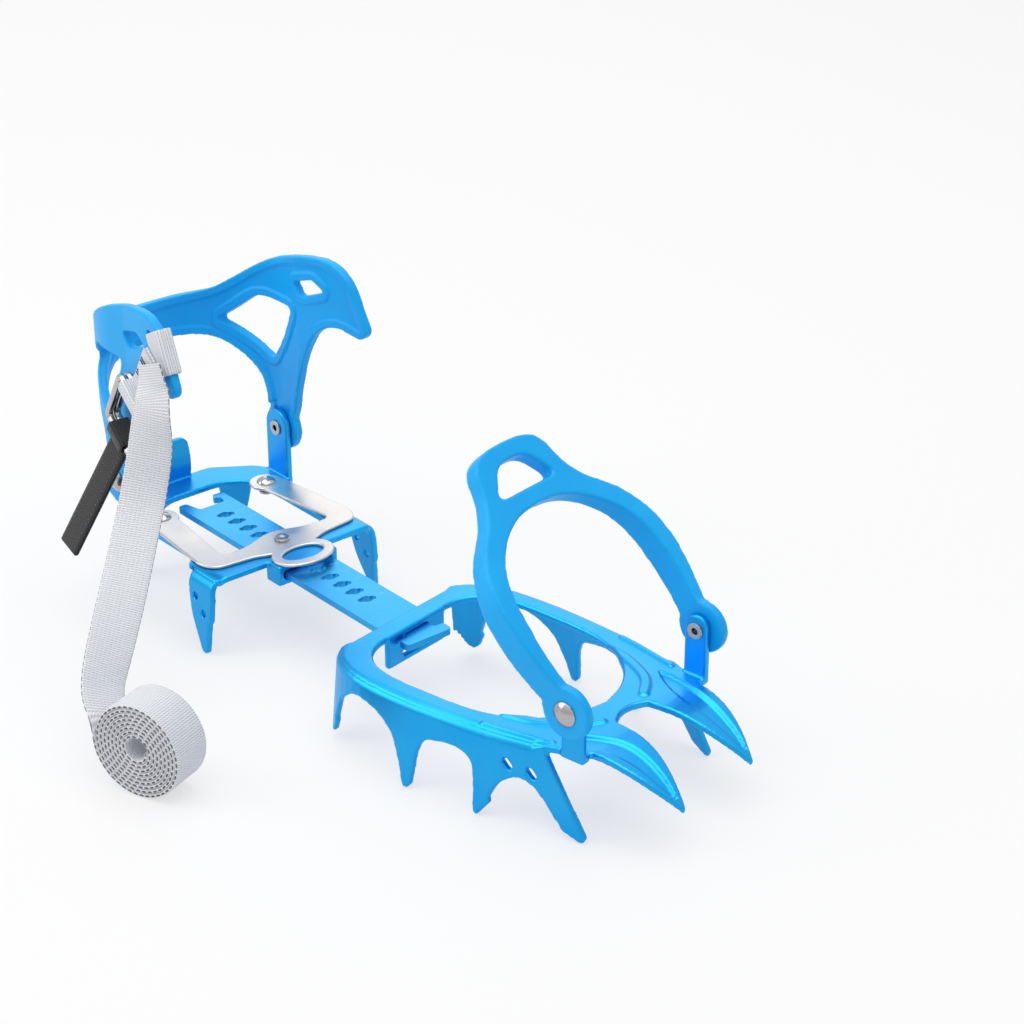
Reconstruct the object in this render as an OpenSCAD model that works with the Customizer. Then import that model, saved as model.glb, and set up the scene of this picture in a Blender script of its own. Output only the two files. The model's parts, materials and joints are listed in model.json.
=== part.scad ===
// Mountaineering crampon for the right boot: a front section with a toe bail, a holed
// linking bar, a heel section with a latch and a heel cradle, and a rolled strap.
// Units are millimetres. +X points to the toe, +Y to the wearer's left, +Z up.
// The spike tips stand on z = 0. The front section lies along X. The linking bar swings
// about its head, and it is drawn turned by bar_turn, which carries the heel section.

/* [Sheet] */
// Thickness of the pressed aluminium sheet
sheet = 3; // [2:0.25:4]
// Height of the sole face above the spike tips
sole_z = 38; // [32:0.5:46]
// How much wider the side flanges stand at the floor than at the bend
flange_flare = 1.11; // [1:0.01:1.2]

/* [Front frame] */
// Widest half width of the front frame at the bend
front_half = 52; // [47:0.5:58]
// Top width of the side rails at their middle
rail_w = 11; // [8:0.5:14]
// Fore and aft width of the rear crossbar
crossbar_w = 10; // [8:0.5:13]
// Width of the bracket that hangs from the rear crossbar
bracket_w = 36; // [32:1:42]
// Depth of that bracket below the sole face
bracket_drop = 16; // [13:0.5:20]
// How far the front points reach beyond the web
point_len = 43.5; // [38:0.5:50]
// How far their tips curve down below the sole face
point_drop = 17; // [8:0.5:24]
// Width of the two oval slots in each side flange
flange_slot_w = 2.6; // [2:0.1:3.5]
// Length of those slots
flange_slot_len = 5.6; // [4:0.2:7]

/* [Pivot posts] */
// Distance between the inner faces of the toe posts
toe_gap = 78; // [76:0.5:80.5]
// Width of a toe post
toe_post_w = 11; // [9.5:0.5:14]
// Fore and aft place of the toe pivot
toe_pivot_x = 100; // [98:0.5:101]
// Height of the toe pivot
toe_pivot_z = 58.8; // [55:0.2:66]
// Distance between the inner faces of the heel posts
heel_gap = 81; // [79:0.5:83]
// Width of a heel post
heel_post_w = 16; // [14:0.5:18]
// Fore and aft place of the heel pivot, along the bar
heel_pivot_x = -175.6; // [-178:0.2:-173]
// Height of the heel pivot
heel_pivot_z = 62; // [58:0.5:70]

/* [Rivets] */
// Shank diameter of the four pivot rivets
pivot_rivet_d = 5; // [4:0.25:6]
// Diameter of their domed outer heads
pivot_head_d = 11; // [9:0.5:13]
// Height of those heads
pivot_head_h = 2.4; // [2:0.1:3]
// Diameter of the hollow flared inner ends
pivot_flare_d = 7.4; // [6.8:0.2:8.6]
// Bore of the hollow end
pivot_bore_d = 3; // [2:0.2:3.4]
// Radial play of a plastic eye on its rivet
pivot_play = 0.08; // [0.03:0.01:0.1]
// Side gap between a plastic eye and its neighbours
pivot_gap = 0.3; // [0.2:0.05:0.6]

/* [Toe bail] */
// Backward lean of the bail, degrees from upright
bail_lean = 43; // [20:1:60]
// Height of the bail's lobe above the pivot, along the bail
bail_len = 105.5; // [98:0.5:114]
// Thickness of the bail's legs at the eyes
bail_leg_t = 4.4; // [3.8:0.2:5.4]
// Width of the legs seen from the side
bail_leg_w = 13; // [11:0.5:16]
// Thickness of the top lobe
bail_lobe_t = 8; // [6:0.5:10]
// Radius of the round ends
bail_eye_r = 11.5; // [9:0.5:13]
// Width of the strap eye in the lobe
bail_slot_w = 36; // [28:0.5:37]
// Height of that strap eye
bail_slot_h = 13.5; // [11:0.5:14.5]

/* [Linking bar] */
// Turn of the bar about its head, degrees, negative swings the toe of the bar right
bar_turn = -10; // [-12:1:12]
// Width of the bar
bar_w = 25; // [22:0.5:27]
// Thickness of the bar
bar_t = 3; // [2.5:0.1:3.5]
// Play of the bar under the crossbars and in the slot
bar_play = 0.3; // [0.2:0.05:0.6]
// Rear end of the bar
bar_rear_x = -182; // [-190:1:-176]
// Pitch of the length holes
hole_pitch = 9; // [8:0.25:10]
// Number of length holes
hole_count = 13; // [9:1:14]
// Diameter of the middle lobe of a hole
hole_d = 5.4; // [5.2:0.1:6]
// Width of the neck in the bracket slot
neck_w = 14; // [11:0.5:16]
// Width of the head in front of the bracket
head_w = 24; // [21:0.5:26]
// Length of that head
head_len = 6; // [4:0.5:8]
// Swing of the bar each way that the head and slot leave free, degrees
bar_swing = 13; // [8:1:15]

/* [Heel frame] */
// Half width of the heel frame at the front spikes
heel_half = 45.5; // [43.5:0.5:49]
// Half width of its side rails
heel_rail_half = 38.5; // [36:0.5:40]
// Rear edge of the heel frame, along the bar
heel_rear_x = -203; // [-206:0.5:-200]
// Front edge of the heel frame, along the bar
heel_front_x = -104; // [-107:0.5:-101]
// Outward lean of the heel's front spikes, degrees
heel_spike_lean = 5; // [0:0.5:9]
// Height of the upright heel stop above the sole face
stop_h = 20; // [14:0.5:26]
// Width of the heel stop
stop_w = 15; // [11:0.5:18]
// Fore and aft width of the loop that guides the bar
guide_len = 10; // [7:0.5:12]
// Side play of the bar in that loop
guide_play = 0.7; // [0.4:0.1:1.2]

/* [Latch] */
// Thickness of the spring plate
latch_t = 1.5; // [1:0.1:2]
// Fore and aft place of the two latch rivets, along the bar
latch_rivet_x = -169.6; // [-171:0.2:-168]
// Distance between the latch rivets
latch_rivet_gap = 58.8; // [56:0.4:62]
// Shank diameter of the latch rivets
latch_rivet_d = 4; // [3:0.25:5]
// Radial play of the spring plate on those rivets
latch_play = 0.06; // [0.02:0.02:0.1]
// Fore and aft place of the latch pin, along the bar
pin_x = -116; // [-117:0.5:-115]
// Diameter of the latch pin
pin_d = 4; // [3.2:0.1:4.2]
// Play of the pin in the crossbar hole, on the diameter
pin_play = 2.5; // [2:0.1:3]
// Length of the finger ring in front of the pin
finger_len = 22; // [20:0.5:24]
// Width of the finger ring
finger_w = 31; // [28:0.5:35]
// Width of the metal round the finger hole
finger_rim = 5; // [4:0.25:6]

/* [Heel cradle] */
// Wall of the cradle
cradle_t = 4.2; // [3.5:0.1:5]
// Radius of the round ends on the heel rivets
cradle_eye_r = 11; // [9:0.5:12]
// Height of the wings above the spike tips
wing_top_z = 153; // [150:0.5:156]
// Forward end of the wings, along the bar
wing_tip_x = -115; // [-117:0.5:-113]
// Outward flare of the wings, degrees
wing_flare = 6.5; // [3:0.5:9]
// Height of the rear band's middle
band_z = 115.5; // [113:0.5:118]
// Width of the rear band
band_w = 18; // [15:0.5:21]
// Width of the strap slot in the right wing
slot_w = 4; // [3.4:0.2:5]

/* [Strap] */
// Width of the webbing
strap_w = 20; // [17:0.5:21]
// Thickness of the webbing
strap_t = 1.4; // [1.2:0.05:1.45]
// Gap kept round the webbing where it wraps another piece
strap_gap = 0.4; // [0.3:0.05:0.6]
// Turns of the roll
roll_turns = 8.5; // [6.5:1:9.5]
// Pitch of the roll
roll_pitch = 1.9; // [1.88:0.02:2]
// Inside radius of the roll
roll_hole_r = 4.4; // [4:0.2:5]
// Turn of the roll's axis away from Y, degrees
roll_turn = 10; // [0:1:20]
// Wire diameter of the buckle rings
ring_wire_d = 3.4; // [2.8:0.2:4]
// Inside width of a buckle ring
ring_w = 22; // [20.5:0.5:26]
// Inside height of a buckle ring
ring_h = 26; // [23:0.5:30]
// Length of the black pull tail
pull_len = 58; // [46:1:70]
// Width of the black pull tail
pull_w = 14; // [11:0.5:16]

/* [Hidden] */
$fn = 48;
nudge = 0.01;

// Origin: middle of the part's box, without the strap, in the front section's own axes
middle = [-36.2, 9.8];

under_z = sole_z - sheet;
bar_top_z = under_z - bar_play;
bar_low_z = bar_top_z - bar_t;
slot_low_z = bar_low_z - bar_play;
toe_half = toe_gap / 2;
post_over = 1.5;
heel_post_half = heel_gap / 2;

// Front frame places
front_rear_x = -28;
crossbar_x = front_rear_x + crossbar_w;
bracket_x = crossbar_x - sheet;
bar_pivot_x = bracket_x + sheet / 2;
head_room = head_w / 2 * sin(bar_swing) + 0.6;
shoulder_room = bar_w / 2 * sin(bar_swing) + 0.6;
shoulder_x = bracket_x - shoulder_room;
head_x = bracket_x + sheet + head_room;
slot_half = neck_w / 2 / cos(bar_swing) + sheet / 2 * tan(bar_swing) + bar_play;
point_x = 98;
web_x = 84.5;
toe_eye_in = toe_half + sheet + pivot_gap;
toe_eye_out = toe_eye_in + bail_leg_t;

// Heel places, along the bar
heel_eye_in = heel_post_half + sheet + pivot_gap;
cradle_in_r = heel_eye_in;
cradle_out_r = cradle_in_r + cradle_t;
cradle_rear_x = heel_rear_x - 9;
cradle_corner_r = 38;
cradle_x = cradle_rear_x + cradle_corner_r;
wing_x = -160;
latch_half = latch_rivet_gap / 2;
latch_top_z = sole_z + latch_t;
heel_window_x = pin_x - 6;
guide_half = bar_w / 2 + guide_play;

// Strap loop place, in the wing's own axes: x crosses the limb, z runs along it
limb_tilt = 27;
limb_w = 9;
limb_x = -131.6;
limb_drop = 14.5;
limb_z = wing_top_z - limb_drop;
loop_front = slot_w / 2 + limb_w + strap_gap;

// Buckle place, along the bar: the keeper lies on the loop and the rings hang on its back
keeper_y = -cradle_out_r - strap_gap - strap_t;
keeper_out_y = keeper_y - 2 * strap_t;
keeper_w = 0.8 * strap_w;
keeper_run = 21.4;
keeper_side = 4.5;
keeper_past = 0.6;
keeper_len = keeper_run + keeper_past;
ring_step = ring_wire_d + 0.3;
wire_gap = 0.4;
wire_half_x = ring_wire_d / 2 + wire_gap;
wire_half_y = (ring_step + ring_wire_d) / 2 + wire_gap;
ring_y = -cradle_out_r - 0.5 - ring_step / 2 - ring_wire_d / 2 - 0.4 - strap_t;
buckle_tilt = 57;
ring_bar_x = limb_x - keeper_run * cos(buckle_tilt) + keeper_side * sin(buckle_tilt);
ring_z = limb_z - keeper_run * sin(buckle_tilt) - keeper_side * cos(buckle_tilt);

// Roll place and the route of the free strap, from the wing down to the roll
function turned(p) = let (d = p[0] - bar_pivot_x)
    [bar_pivot_x + d * cos(bar_turn) - p[1] * sin(bar_turn),
        d * sin(bar_turn) + p[1] * cos(bar_turn), p[2]];

// Places on the right wing, which turns outward about wing_x
function in_right_wing(p) = let (d = p[0] - wing_x, e = p[1] + cradle_out_r)
    [wing_x + d * cos(wing_flare) + e * sin(wing_flare),
        -cradle_out_r - d * sin(wing_flare) + e * cos(wing_flare), p[2]];

tail_gap = 0.8;
over_keeper_y = keeper_out_y - tail_gap - strap_t / 2;
roll_end_r = roll_hole_r + roll_pitch * roll_turns + strap_t / 2;
roll_centre = [-55, -122, roll_end_r + strap_t / 2 + 0.1];
roll_end = roll_centre - roll_end_r * [cos(roll_turn), sin(roll_turn), 0];
strap_route = [
    turned(in_right_wing([-124, over_keeper_y, 139])),
    turned(in_right_wing([-120.5, over_keeper_y - 1.2, 130.5])),
    turned(in_right_wing([-116, over_keeper_y - 4.2, 121])),
    [-126.5, -48, 104],
    [-124.5, -56, 84],
    [-116, -71, 69],
    [-106, -87, 57],
    [-96, -103, 46],
    [-86, -118, 36],
    roll_end + [-0.6, -0.3, 6],
    roll_end];
strap_across = [
    [cos(bar_turn - wing_flare), sin(bar_turn - wing_flare), 0],
    [0.99, -0.15, 0],
    [0.99, 0.11, 0],
    [0.88, 0.47, 0],
    [0.77, 0.64, 0],
    [0.67, 0.74, 0],
    [0.48, 0.88, 0],
    [0.20, 0.98, 0],
    [-0.08, 1, 0],
    [-sin(roll_turn), cos(roll_turn), 0],
    [-sin(roll_turn), cos(roll_turn), 0]];

// Helpers for outlines

function unit(v) = v / norm(v);

// A whole outline from its left half, which starts and ends on the middle line y = 0
function both_sides(points) = concat(points,
    [for (i = [len(points) - 2:-1:1]) [points[i][0], -points[i][1]]]);

// The same for a half outline that is mirrored in x and meets itself at x = 0 at its end
function both_ends(points) = concat(points,
    [for (i = [len(points) - 2:-1:0]) [-points[i][0], points[i][1]]]);

// A strip: a line of points and the same line moved by d
function strip(points, d) =
    concat(points, [for (i = [len(points) - 1:-1:0]) points[i] + d]);

// The round end of an arm, half_w to each side, about the point at [0, 0], below the arm
function round_end(r, half_w, steps = 28) =
    let (open = acos(min(half_w / r, 1)))
    [for (i = [0:steps]) let (a = 180 - open + (180 + 2 * open) * i / steps)
        r * [cos(a), sin(a)]];

// Rounds a corner of an outline: b is the corner, r how far the round reaches, which is
// less than half way along the edges beside it
function corner(a, b, c, r, steps = 5) =
    let (reach = min(r, 0.48 * norm(a - b), 0.48 * norm(c - b)),
        p = b + unit(a - b) * reach, q = b + unit(c - b) * reach)
    [for (i = [0:steps]) let (t = i / steps)
        (1 - t) * (1 - t) * p + 2 * t * (1 - t) * b + t * t * q];

// An outline of points [x, y, r], each corner rounded by its own r
function rounded(points) =
    let (n = len(points), xy = [for (p = points) [p[0], p[1]]])
    [for (i = [0:n - 1]) each (points[i][2] == 0 ? [xy[i]]
        : corner(xy[(i + n - 1) % n], xy[i], xy[(i + 1) % n], points[i][2]))];

// A run of such corners: its first and last points only give the way in and out
function rounded_run(points) =
    let (xy = [for (p = points) [p[0], p[1]]])
    [for (i = [1:len(points) - 2]) each (points[i][2] == 0 ? [xy[i]]
        : corner(xy[i - 1], xy[i], xy[i + 1], points[i][2]))];

// One point of a smooth curve through four points
function between(a, b, c, d, t) =
    0.5 * (2 * b + (c - a) * t + (2 * a - 5 * b + 4 * c - d) * t * t
        + (3 * b - a - 3 * c + d) * t * t * t);

// A smooth curve through all the points
function smooth(points, steps = 4) =
    let (n = len(points))
    concat([for (i = [0:n - 2]) for (k = [0:steps - 1])
        between(points[max(i - 1, 0)], points[i], points[i + 1],
            points[min(i + 2, n - 1)], k / steps)], [points[n - 1]]);

function ellipse(a, b, steps = 36) =
    [for (i = [0:steps - 1]) [a * cos(360 * i / steps), b * sin(360 * i / steps)]];

// Sheet of the given outline whose top is at height z
module sheet_at(z, t) {
    translate([0, 0, z - t]) linear_extrude(height = t) children();
}

// Outline in X and Z, run along Y from y to y + t
module upright(y, t) {
    translate([0, y + t, 0]) rotate([90, 0, 0]) linear_extrude(height = t) children();
}

// Slot of a given length and width along x
module slot(len, w) {
    square([len - w, w], center = true);
    translate([(len - w) / 2, 0]) circle(d = w);
    translate([-(len - w) / 2, 0]) circle(d = w);
}

module mirrored_y() {
    children();
    mirror([0, 1, 0]) children();
}

module placed() {
    translate([-middle[0], -middle[1], 0]) children();
}

// Heel pieces are drawn along the bar, then turned about the bar's head
module along_bar() {
    placed() translate([bar_pivot_x, 0, 0]) rotate([0, 0, bar_turn])
        translate([-bar_pivot_x, 0, 0]) children();
}

// Front frame

// Outer bend of a side rail, from the rear corner forward past the toe post
rail_path = smooth([
    [front_rear_x - 1, front_half - 17],
    [front_rear_x + 3, front_half - 9.5],
    [front_rear_x + 19, front_half - 2],
    [15, front_half],
    [40, front_half - 1],
    [65, front_half - 3.5],
    [86, front_half - 8],
    [114, front_half - 14]]);

rail_top = [for (p = rail_path) if (p[0] <= 86) p];

window_path = smooth([
    [crossbar_x, 0],
    [crossbar_x, front_half - rail_w - 17],
    [crossbar_x + 8, front_half - rail_w - 5],
    [crossbar_x + 22, front_half - rail_w - 0.5],
    [22, front_half - rail_w],
    [42, front_half - rail_w - 1],
    [54, front_half - rail_w - 3.5],
    [64, front_half - rail_w - 8],
    [74, front_half - rail_w - 16],
    [81, front_half - rail_w - 27],
    [web_x, 0]]);

// Spikes of a side flange, seen from the side, from the rear corner to the front
flange_outline = rounded([
    [front_rear_x - 6, sole_z, 0], [front_rear_x - 3.5, 26, 2], [front_rear_x + 1, 7, 1],
    [front_rear_x + 3.2, 3, 0.8], [front_rear_x + 5.5, 4.5, 0.8], [-20.5, 10, 0.6],
    [-21.2, 11.5, 0.6], [-18, 22, 4], [-8, 30, 5], [6, 28, 6],
    [16, 21, 5], [20, 11, 0.6], [20.8, 9.5, 0.6], [23.2, 0.6, 0.8], [25.6, 0, 0.6],
    [27.4, 2, 0.8], [29, 17, 3], [32, 24, 4], [46, 26.5, 5], [56, 24, 5], [58, 12, 4],
    [58.8, 0.8, 0.8], [60.6, 0, 0.6], [66, 7, 0.6], [65.4, 9.4, 0.6], [69, 17, 4],
    [77, 22, 6], [85, 19, 4], [96, 6, 0.6], [97.2, 3.8, 0.6], [104.6, 0.5, 0.8],
    [106.8, 0, 0.8], [107.6, 2.4, 0.8], [89.5, 32, 5], [86.5, sole_z, 0]]);

module side_flange() {
    difference() {
        intersection() {
            translate([0, 0, sole_z]) mirror([0, 0, 1])
                linear_extrude(height = sole_z, scale = [1, flange_flare], slices = 1)
                    polygon(strip(rail_path, [0, -sheet]));
            upright(0, 2 * front_half) polygon(flange_outline);
        }
        for (p = [[72.5, 26], [83, 24.5]]) translate([p[0], 0, p[1]]) rotate([0, 45, 0])
            upright(0, 2 * front_half) slot(flange_slot_len, flange_slot_w);
    }
}

// The plate's ear that carries a toe post, and the front web
front_plate = concat(
    [[front_rear_x, 0], [front_rear_x, front_half - 22]], rail_top,
    rounded([[toe_pivot_x - toe_post_w / 2 - 1, toe_half + sheet - 1, 0],
        [toe_pivot_x - toe_post_w / 2, toe_half + sheet, 0],
        [toe_pivot_x + toe_post_w / 2, toe_half + sheet, 2],
        [toe_pivot_x + toe_post_w / 2, 36.5, 2], [point_x, 36, 0], [point_x, 12, 0]]),
    [[point_x, 10], [point_x - 1.6, 7], [point_x - 3, 4], [point_x - 3.5, 0]]);

// Top line of a front point, seen from the side: level at first, then curving down
point_line = [for (i = [-1:12]) let (t = max(i, 0) / 12, level = 0.16)
    [point_x + (i < 0 ? -1 : t * point_len),
        sole_z - point_drop * pow(max(t - level, 0) / (1 - level), 2)]];

// Claw shape of a front point, seen from above
module front_point() {
    outline = concat(
        smooth([[-1, 10], [point_len * 0.18, 10.8], [point_len * 0.37, 12],
            [point_len * 0.55, 13.7], [point_len * 0.73, 16.4], [point_len * 0.88, 19.4]]),
        rounded_run([[point_len * 0.88, 19.4], [point_len * 0.995, 22, 1],
            [point_len, 23.6, 1], [point_len * 0.9, 26, 2], [point_len * 0.8, 28.6, 4],
            [point_len * 0.64, 31.6, 5], [point_len * 0.46, 33.8, 5],
            [point_len * 0.2, 35.6, 3], [-1, 36, 0], [-1, 10]]));
    intersection() {
        translate([point_x, 0, 0]) linear_extrude(height = 2 * sole_z) polygon(outline);
        upright(0, front_half) polygon(strip(point_line, [0, -sheet]));
    }
}

// Upright post with a round top and a rivet hole
module pivot_post(half, x, z, w) {
    translate([x, half, 0]) difference() {
        union() {
            translate([-w / 2, 0, under_z]) cube([w, sheet, z + post_over - under_z]);
            translate([0, 0, z + post_over]) rotate([-90, 0, 0]) cylinder(d = w, h = sheet);
        }
        translate([0, 0, z]) rotate([90, 0, 0])
            cylinder(d = pivot_rivet_d, h = 4 * sheet, center = true);
    }
}

// Bracket with the slot for the bar's neck and an oval relief under it
module bar_bracket() {
    difference() {
        translate([bracket_x, -bracket_w / 2, sole_z - bracket_drop])
            cube([sheet, bracket_w, bracket_drop]);
        translate([bracket_x - sheet, -slot_half, slot_low_z])
            cube([3 * sheet, 2 * slot_half, under_z - slot_low_z]);
        translate([bracket_x - sheet, 0, sole_z - bracket_drop + 4.2]) rotate([90, 0, 90])
            linear_extrude(height = 3 * sheet) slot(bracket_w * 0.5, 3.2);
    }
}

module front_frame() {
    color("deepskyblue") placed() {
        sheet_at(sole_z, sheet) difference() {
            polygon(both_sides(front_plate));
            polygon(both_sides(window_path));
        }
        mirrored_y() {
            side_flange();
            front_point();
            pivot_post(toe_half, toe_pivot_x, toe_pivot_z, toe_post_w);
        }
        bar_bracket();
    }
}

// Rivets

// Pivot rivet along +Y: the hollow flared end at y = 0, the domed head past the eye
module pivot_rivet(eye_out) {
    head_y = eye_out + pivot_gap;
    dome_r = (pivot_head_d * pivot_head_d / 4 + pivot_head_h * pivot_head_h)
        / (2 * pivot_head_h);
    rotate([-90, 0, 0]) difference() {
        union() {
            translate([0, 0, -0.8]) cylinder(d = pivot_flare_d, h = 0.8);
            cylinder(d = pivot_rivet_d, h = head_y + nudge);
            translate([0, 0, head_y]) intersection() {
                cylinder(d = pivot_head_d, h = pivot_head_h);
                translate([0, 0, pivot_head_h - dome_r]) sphere(r = dome_r, $fn = 96);
            }
        }
        translate([0, 0, -2]) cylinder(d = pivot_bore_d, h = 6);
    }
}

module toe_rivet() {
    translate([toe_pivot_x, toe_half, toe_pivot_z]) pivot_rivet(toe_eye_out - toe_half);
}

module toe_rivet_left() { color("silver") placed() toe_rivet(); }
module toe_rivet_right() { color("silver") placed() mirror([0, 1, 0]) toe_rivet(); }

module cradle_rivet() {
    translate([heel_pivot_x, heel_post_half, heel_pivot_z])
        pivot_rivet(cradle_out_r - heel_post_half);
}

module cradle_rivet_left() { color("silver") along_bar() cradle_rivet(); }
module cradle_rivet_right() { color("silver") along_bar() mirror([0, 1, 0]) cradle_rivet(); }

module latch_rivet() {
    head_d = 2.3 * latch_rivet_d;
    translate([latch_rivet_x, latch_half, 0]) {
        translate([0, 0, under_z]) cylinder(d = latch_rivet_d, h = sheet + latch_t);
        translate([0, 0, under_z - 1]) cylinder(d = 1.7 * latch_rivet_d, h = 1);
        translate([0, 0, latch_top_z]) intersection() {
            cylinder(d = head_d, h = 2.4);
            translate([0, 0, 2.4 - head_d * 0.62]) sphere(r = head_d * 0.62, $fn = 96);
        }
    }
}

module latch_rivet_left() { color("silver") along_bar() latch_rivet(); }
module latch_rivet_right() { color("silver") along_bar() mirror([0, 1, 0]) latch_rivet(); }

// Toe bail, drawn upright about its pivot: Y across, Z along the bail

bail_outer = concat(
    [[toe_eye_out, -bail_eye_r - 1], [toe_eye_out, 4]],
    smooth([[toe_eye_out, 6], [toe_eye_out + 1.6, 12], [toe_eye_out + 3.4, 20],
        [toe_eye_out + 4.8, 29], [toe_eye_out + 5.2, 38], [toe_eye_out + 4.5, bail_len - 58],
        [toe_eye_out + 2.6, bail_len - 50.5], [46, bail_len - 43.5],
        [41.5, bail_len - 37], [35, bail_len - 31], [29.5, bail_len - 25.5],
        [25, bail_len - 18.5], [22.8, bail_len - 12.5], [21.4, bail_len - 7.5],
        [17.5, bail_len - 3], [10, bail_len - 0.6], [0, bail_len]]));

bail_inner = concat(
    [[toe_eye_in, -bail_eye_r - 2]],
    smooth([[toe_eye_in, 8], [toe_eye_in + 1.2, 18], [toe_eye_in + 1.4, 28],
        [toe_eye_in + 1, 36], [42.3, bail_len - 61], [39.5, bail_len - 52],
        [35, bail_len - 44.7], [28.6, bail_len - 38.4], [21, bail_len - 33.4],
        [12, bail_len - 30], [0, bail_len - 28.6]]));

bail_side = concat(
    round_end(bail_eye_r, bail_leg_w / 2),
    rounded_run([[bail_leg_w / 2, 0], [bail_leg_w / 2, 44, 12],
        [bail_lobe_t / 2 - 2, bail_len - 30, 12], [bail_lobe_t / 2 - 2, bail_len + 2, 0],
        [-bail_lobe_t / 2 - 2, bail_len + 2, 0], [-bail_lobe_t / 2 - 2, bail_len - 30, 12],
        [-bail_leg_w / 2, 44, 12], [-bail_leg_w / 2, 0]]));

bail_slot = rounded([[-bail_slot_w / 2, 0, 5], [bail_slot_w / 2, 0, 5],
    [bail_slot_w * 0.24, bail_slot_h, 6], [-bail_slot_w * 0.24, bail_slot_h, 6]]);

// Outline in Y and Z, run along X both ways
module fore_and_aft(points) {
    rotate([90, 0, 90]) linear_extrude(height = 4 * bail_leg_w, center = true)
        polygon(points);
}

module toe_bail() {
    color("dodgerblue") placed()
        translate([toe_pivot_x, 0, toe_pivot_z]) rotate([0, -bail_lean, 0]) difference() {
            intersection() {
                fore_and_aft(both_ends(bail_outer));
                upright(-2 * toe_gap, 4 * toe_gap) polygon(bail_side);
            }
            fore_and_aft(both_ends(bail_inner));
            translate([0, 0, bail_len - 21.2]) fore_and_aft(bail_slot);
            rotate([90, 0, 0])
                cylinder(d = pivot_rivet_d + 2 * pivot_play, h = 2 * toe_gap, center = true);
        }
}

// Linking bar

bar_outline = rounded([
    [bar_rear_x, bar_w / 2, 1.6], [shoulder_x, bar_w / 2, 2], [shoulder_x, neck_w / 2, 1.5],
    [head_x, neck_w / 2, 1.5], [head_x, head_w / 2, 1], [head_x + head_len, head_w / 2, 2],
    [head_x + head_len, -head_w / 2, 2], [head_x, -head_w / 2, 1],
    [head_x, -neck_w / 2, 1.5], [shoulder_x, -neck_w / 2, 1.5],
    [shoulder_x, -bar_w / 2, 2], [bar_rear_x, -bar_w / 2, 1.6],
    [bar_rear_x, -bar_w / 2 + 4.5, 1.4], [bar_rear_x + 9, -bar_w / 2 + 6.5, 1.4],
    [bar_rear_x + 9, bar_w / 2 - 5, 1.2], [bar_rear_x + 4.5, bar_w / 2 - 4, 1],
    [bar_rear_x + 3, bar_w / 2 - 7, 1], [bar_rear_x, bar_w / 2 - 5.5, 1]]);

// Length hole: a round middle with a small lobe on each side
module bar_hole() {
    circle(d = hole_d);
    for (s = [-1, 1]) translate([0.6 * s, s * hole_d * 0.48]) circle(d = hole_d * 0.62);
}

module linking_bar() {
    holes_behind_pin = 5;
    color("deepskyblue") along_bar() sheet_at(bar_top_z, bar_t) difference() {
        polygon(bar_outline);
        for (i = [0:hole_count - 1])
            translate([pin_x + (i - holes_behind_pin) * hole_pitch, 0]) bar_hole();
    }
}

// Heel frame

heel_plate = rounded([
    [heel_rear_x, 0, 0], [heel_rear_x, 19, 2], [heel_rear_x + 2, 22, 1],
    [heel_rear_x + 12, heel_post_half - 3.5, 2],
    [heel_pivot_x - heel_post_w / 2, heel_post_half + sheet - 1, 1],
    [heel_pivot_x - heel_post_w / 2 + 2, heel_post_half + sheet, 0],
    [heel_pivot_x + heel_post_w / 2, heel_post_half + sheet, 1.5],
    [heel_pivot_x + heel_post_w / 2 + 5, heel_rail_half, 4],
    [heel_front_x - 27, heel_rail_half, 5], [heel_front_x - 21, heel_half, 4],
    [heel_front_x - 2.5, heel_half, 3], [heel_front_x, heel_half - 5, 3],
    [heel_front_x, 0, 0]]);

heel_window = rounded([
    [heel_rear_x + 17, 0, 0], [heel_rear_x + 17, 16, 8],
    [heel_rear_x + 27, heel_rail_half - 11.5, 7], [heel_rear_x + 44, heel_rail_half - 10, 5],
    [heel_window_x, heel_rail_half - 10, 6], [heel_window_x, 0, 0]]);

heel_spike_outline = rounded([
    [heel_front_x - 20, sole_z, 0], [heel_front_x - 20, 28, 4], [heel_front_x - 17, 16, 4],
    [heel_front_x - 8.2, 1, 1], [heel_front_x - 6, 0, 0.8], [heel_front_x - 4.2, 1.4, 1],
    [heel_front_x - 3.6, 15, 0.6], [heel_front_x - 2.4, 16.5, 0.6],
    [heel_front_x - 2, 27, 2], [heel_front_x - 3, sole_z, 0]]);

// Front spike with its two holes, leaning out about its bend
module heel_front_spike() {
    translate([0, heel_half, sole_z]) rotate([heel_spike_lean, 0, 0])
        translate([0, -heel_half, -sole_z]) upright(heel_half - sheet, sheet) difference() {
            polygon(heel_spike_outline);
            translate([heel_front_x - 14.5, 25.5]) circle(d = 3.4);
            translate([heel_front_x - 8, 19]) circle(d = 3.4);
        }
}

// Rear spike on the slanted corner of the plate
module heel_rear_spike() {
    a = [heel_rear_x + 2, 22];
    b = [heel_rear_x + 12, heel_post_half - 3.5];
    span = norm(b - a);
    outline = rounded([[0, sole_z, 0], [1, 27, 4], [span * 0.36, 1, 1],
        [span * 0.47, 0, 0.8], [span * 0.58, 1, 1], [span - 2, 24, 4], [span, sole_z, 0]]);
    translate([a[0], a[1], 0]) rotate([0, 0, atan2(b[1] - a[1], b[0] - a[0])])
        upright(-sheet, sheet) polygon(outline);
}

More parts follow.
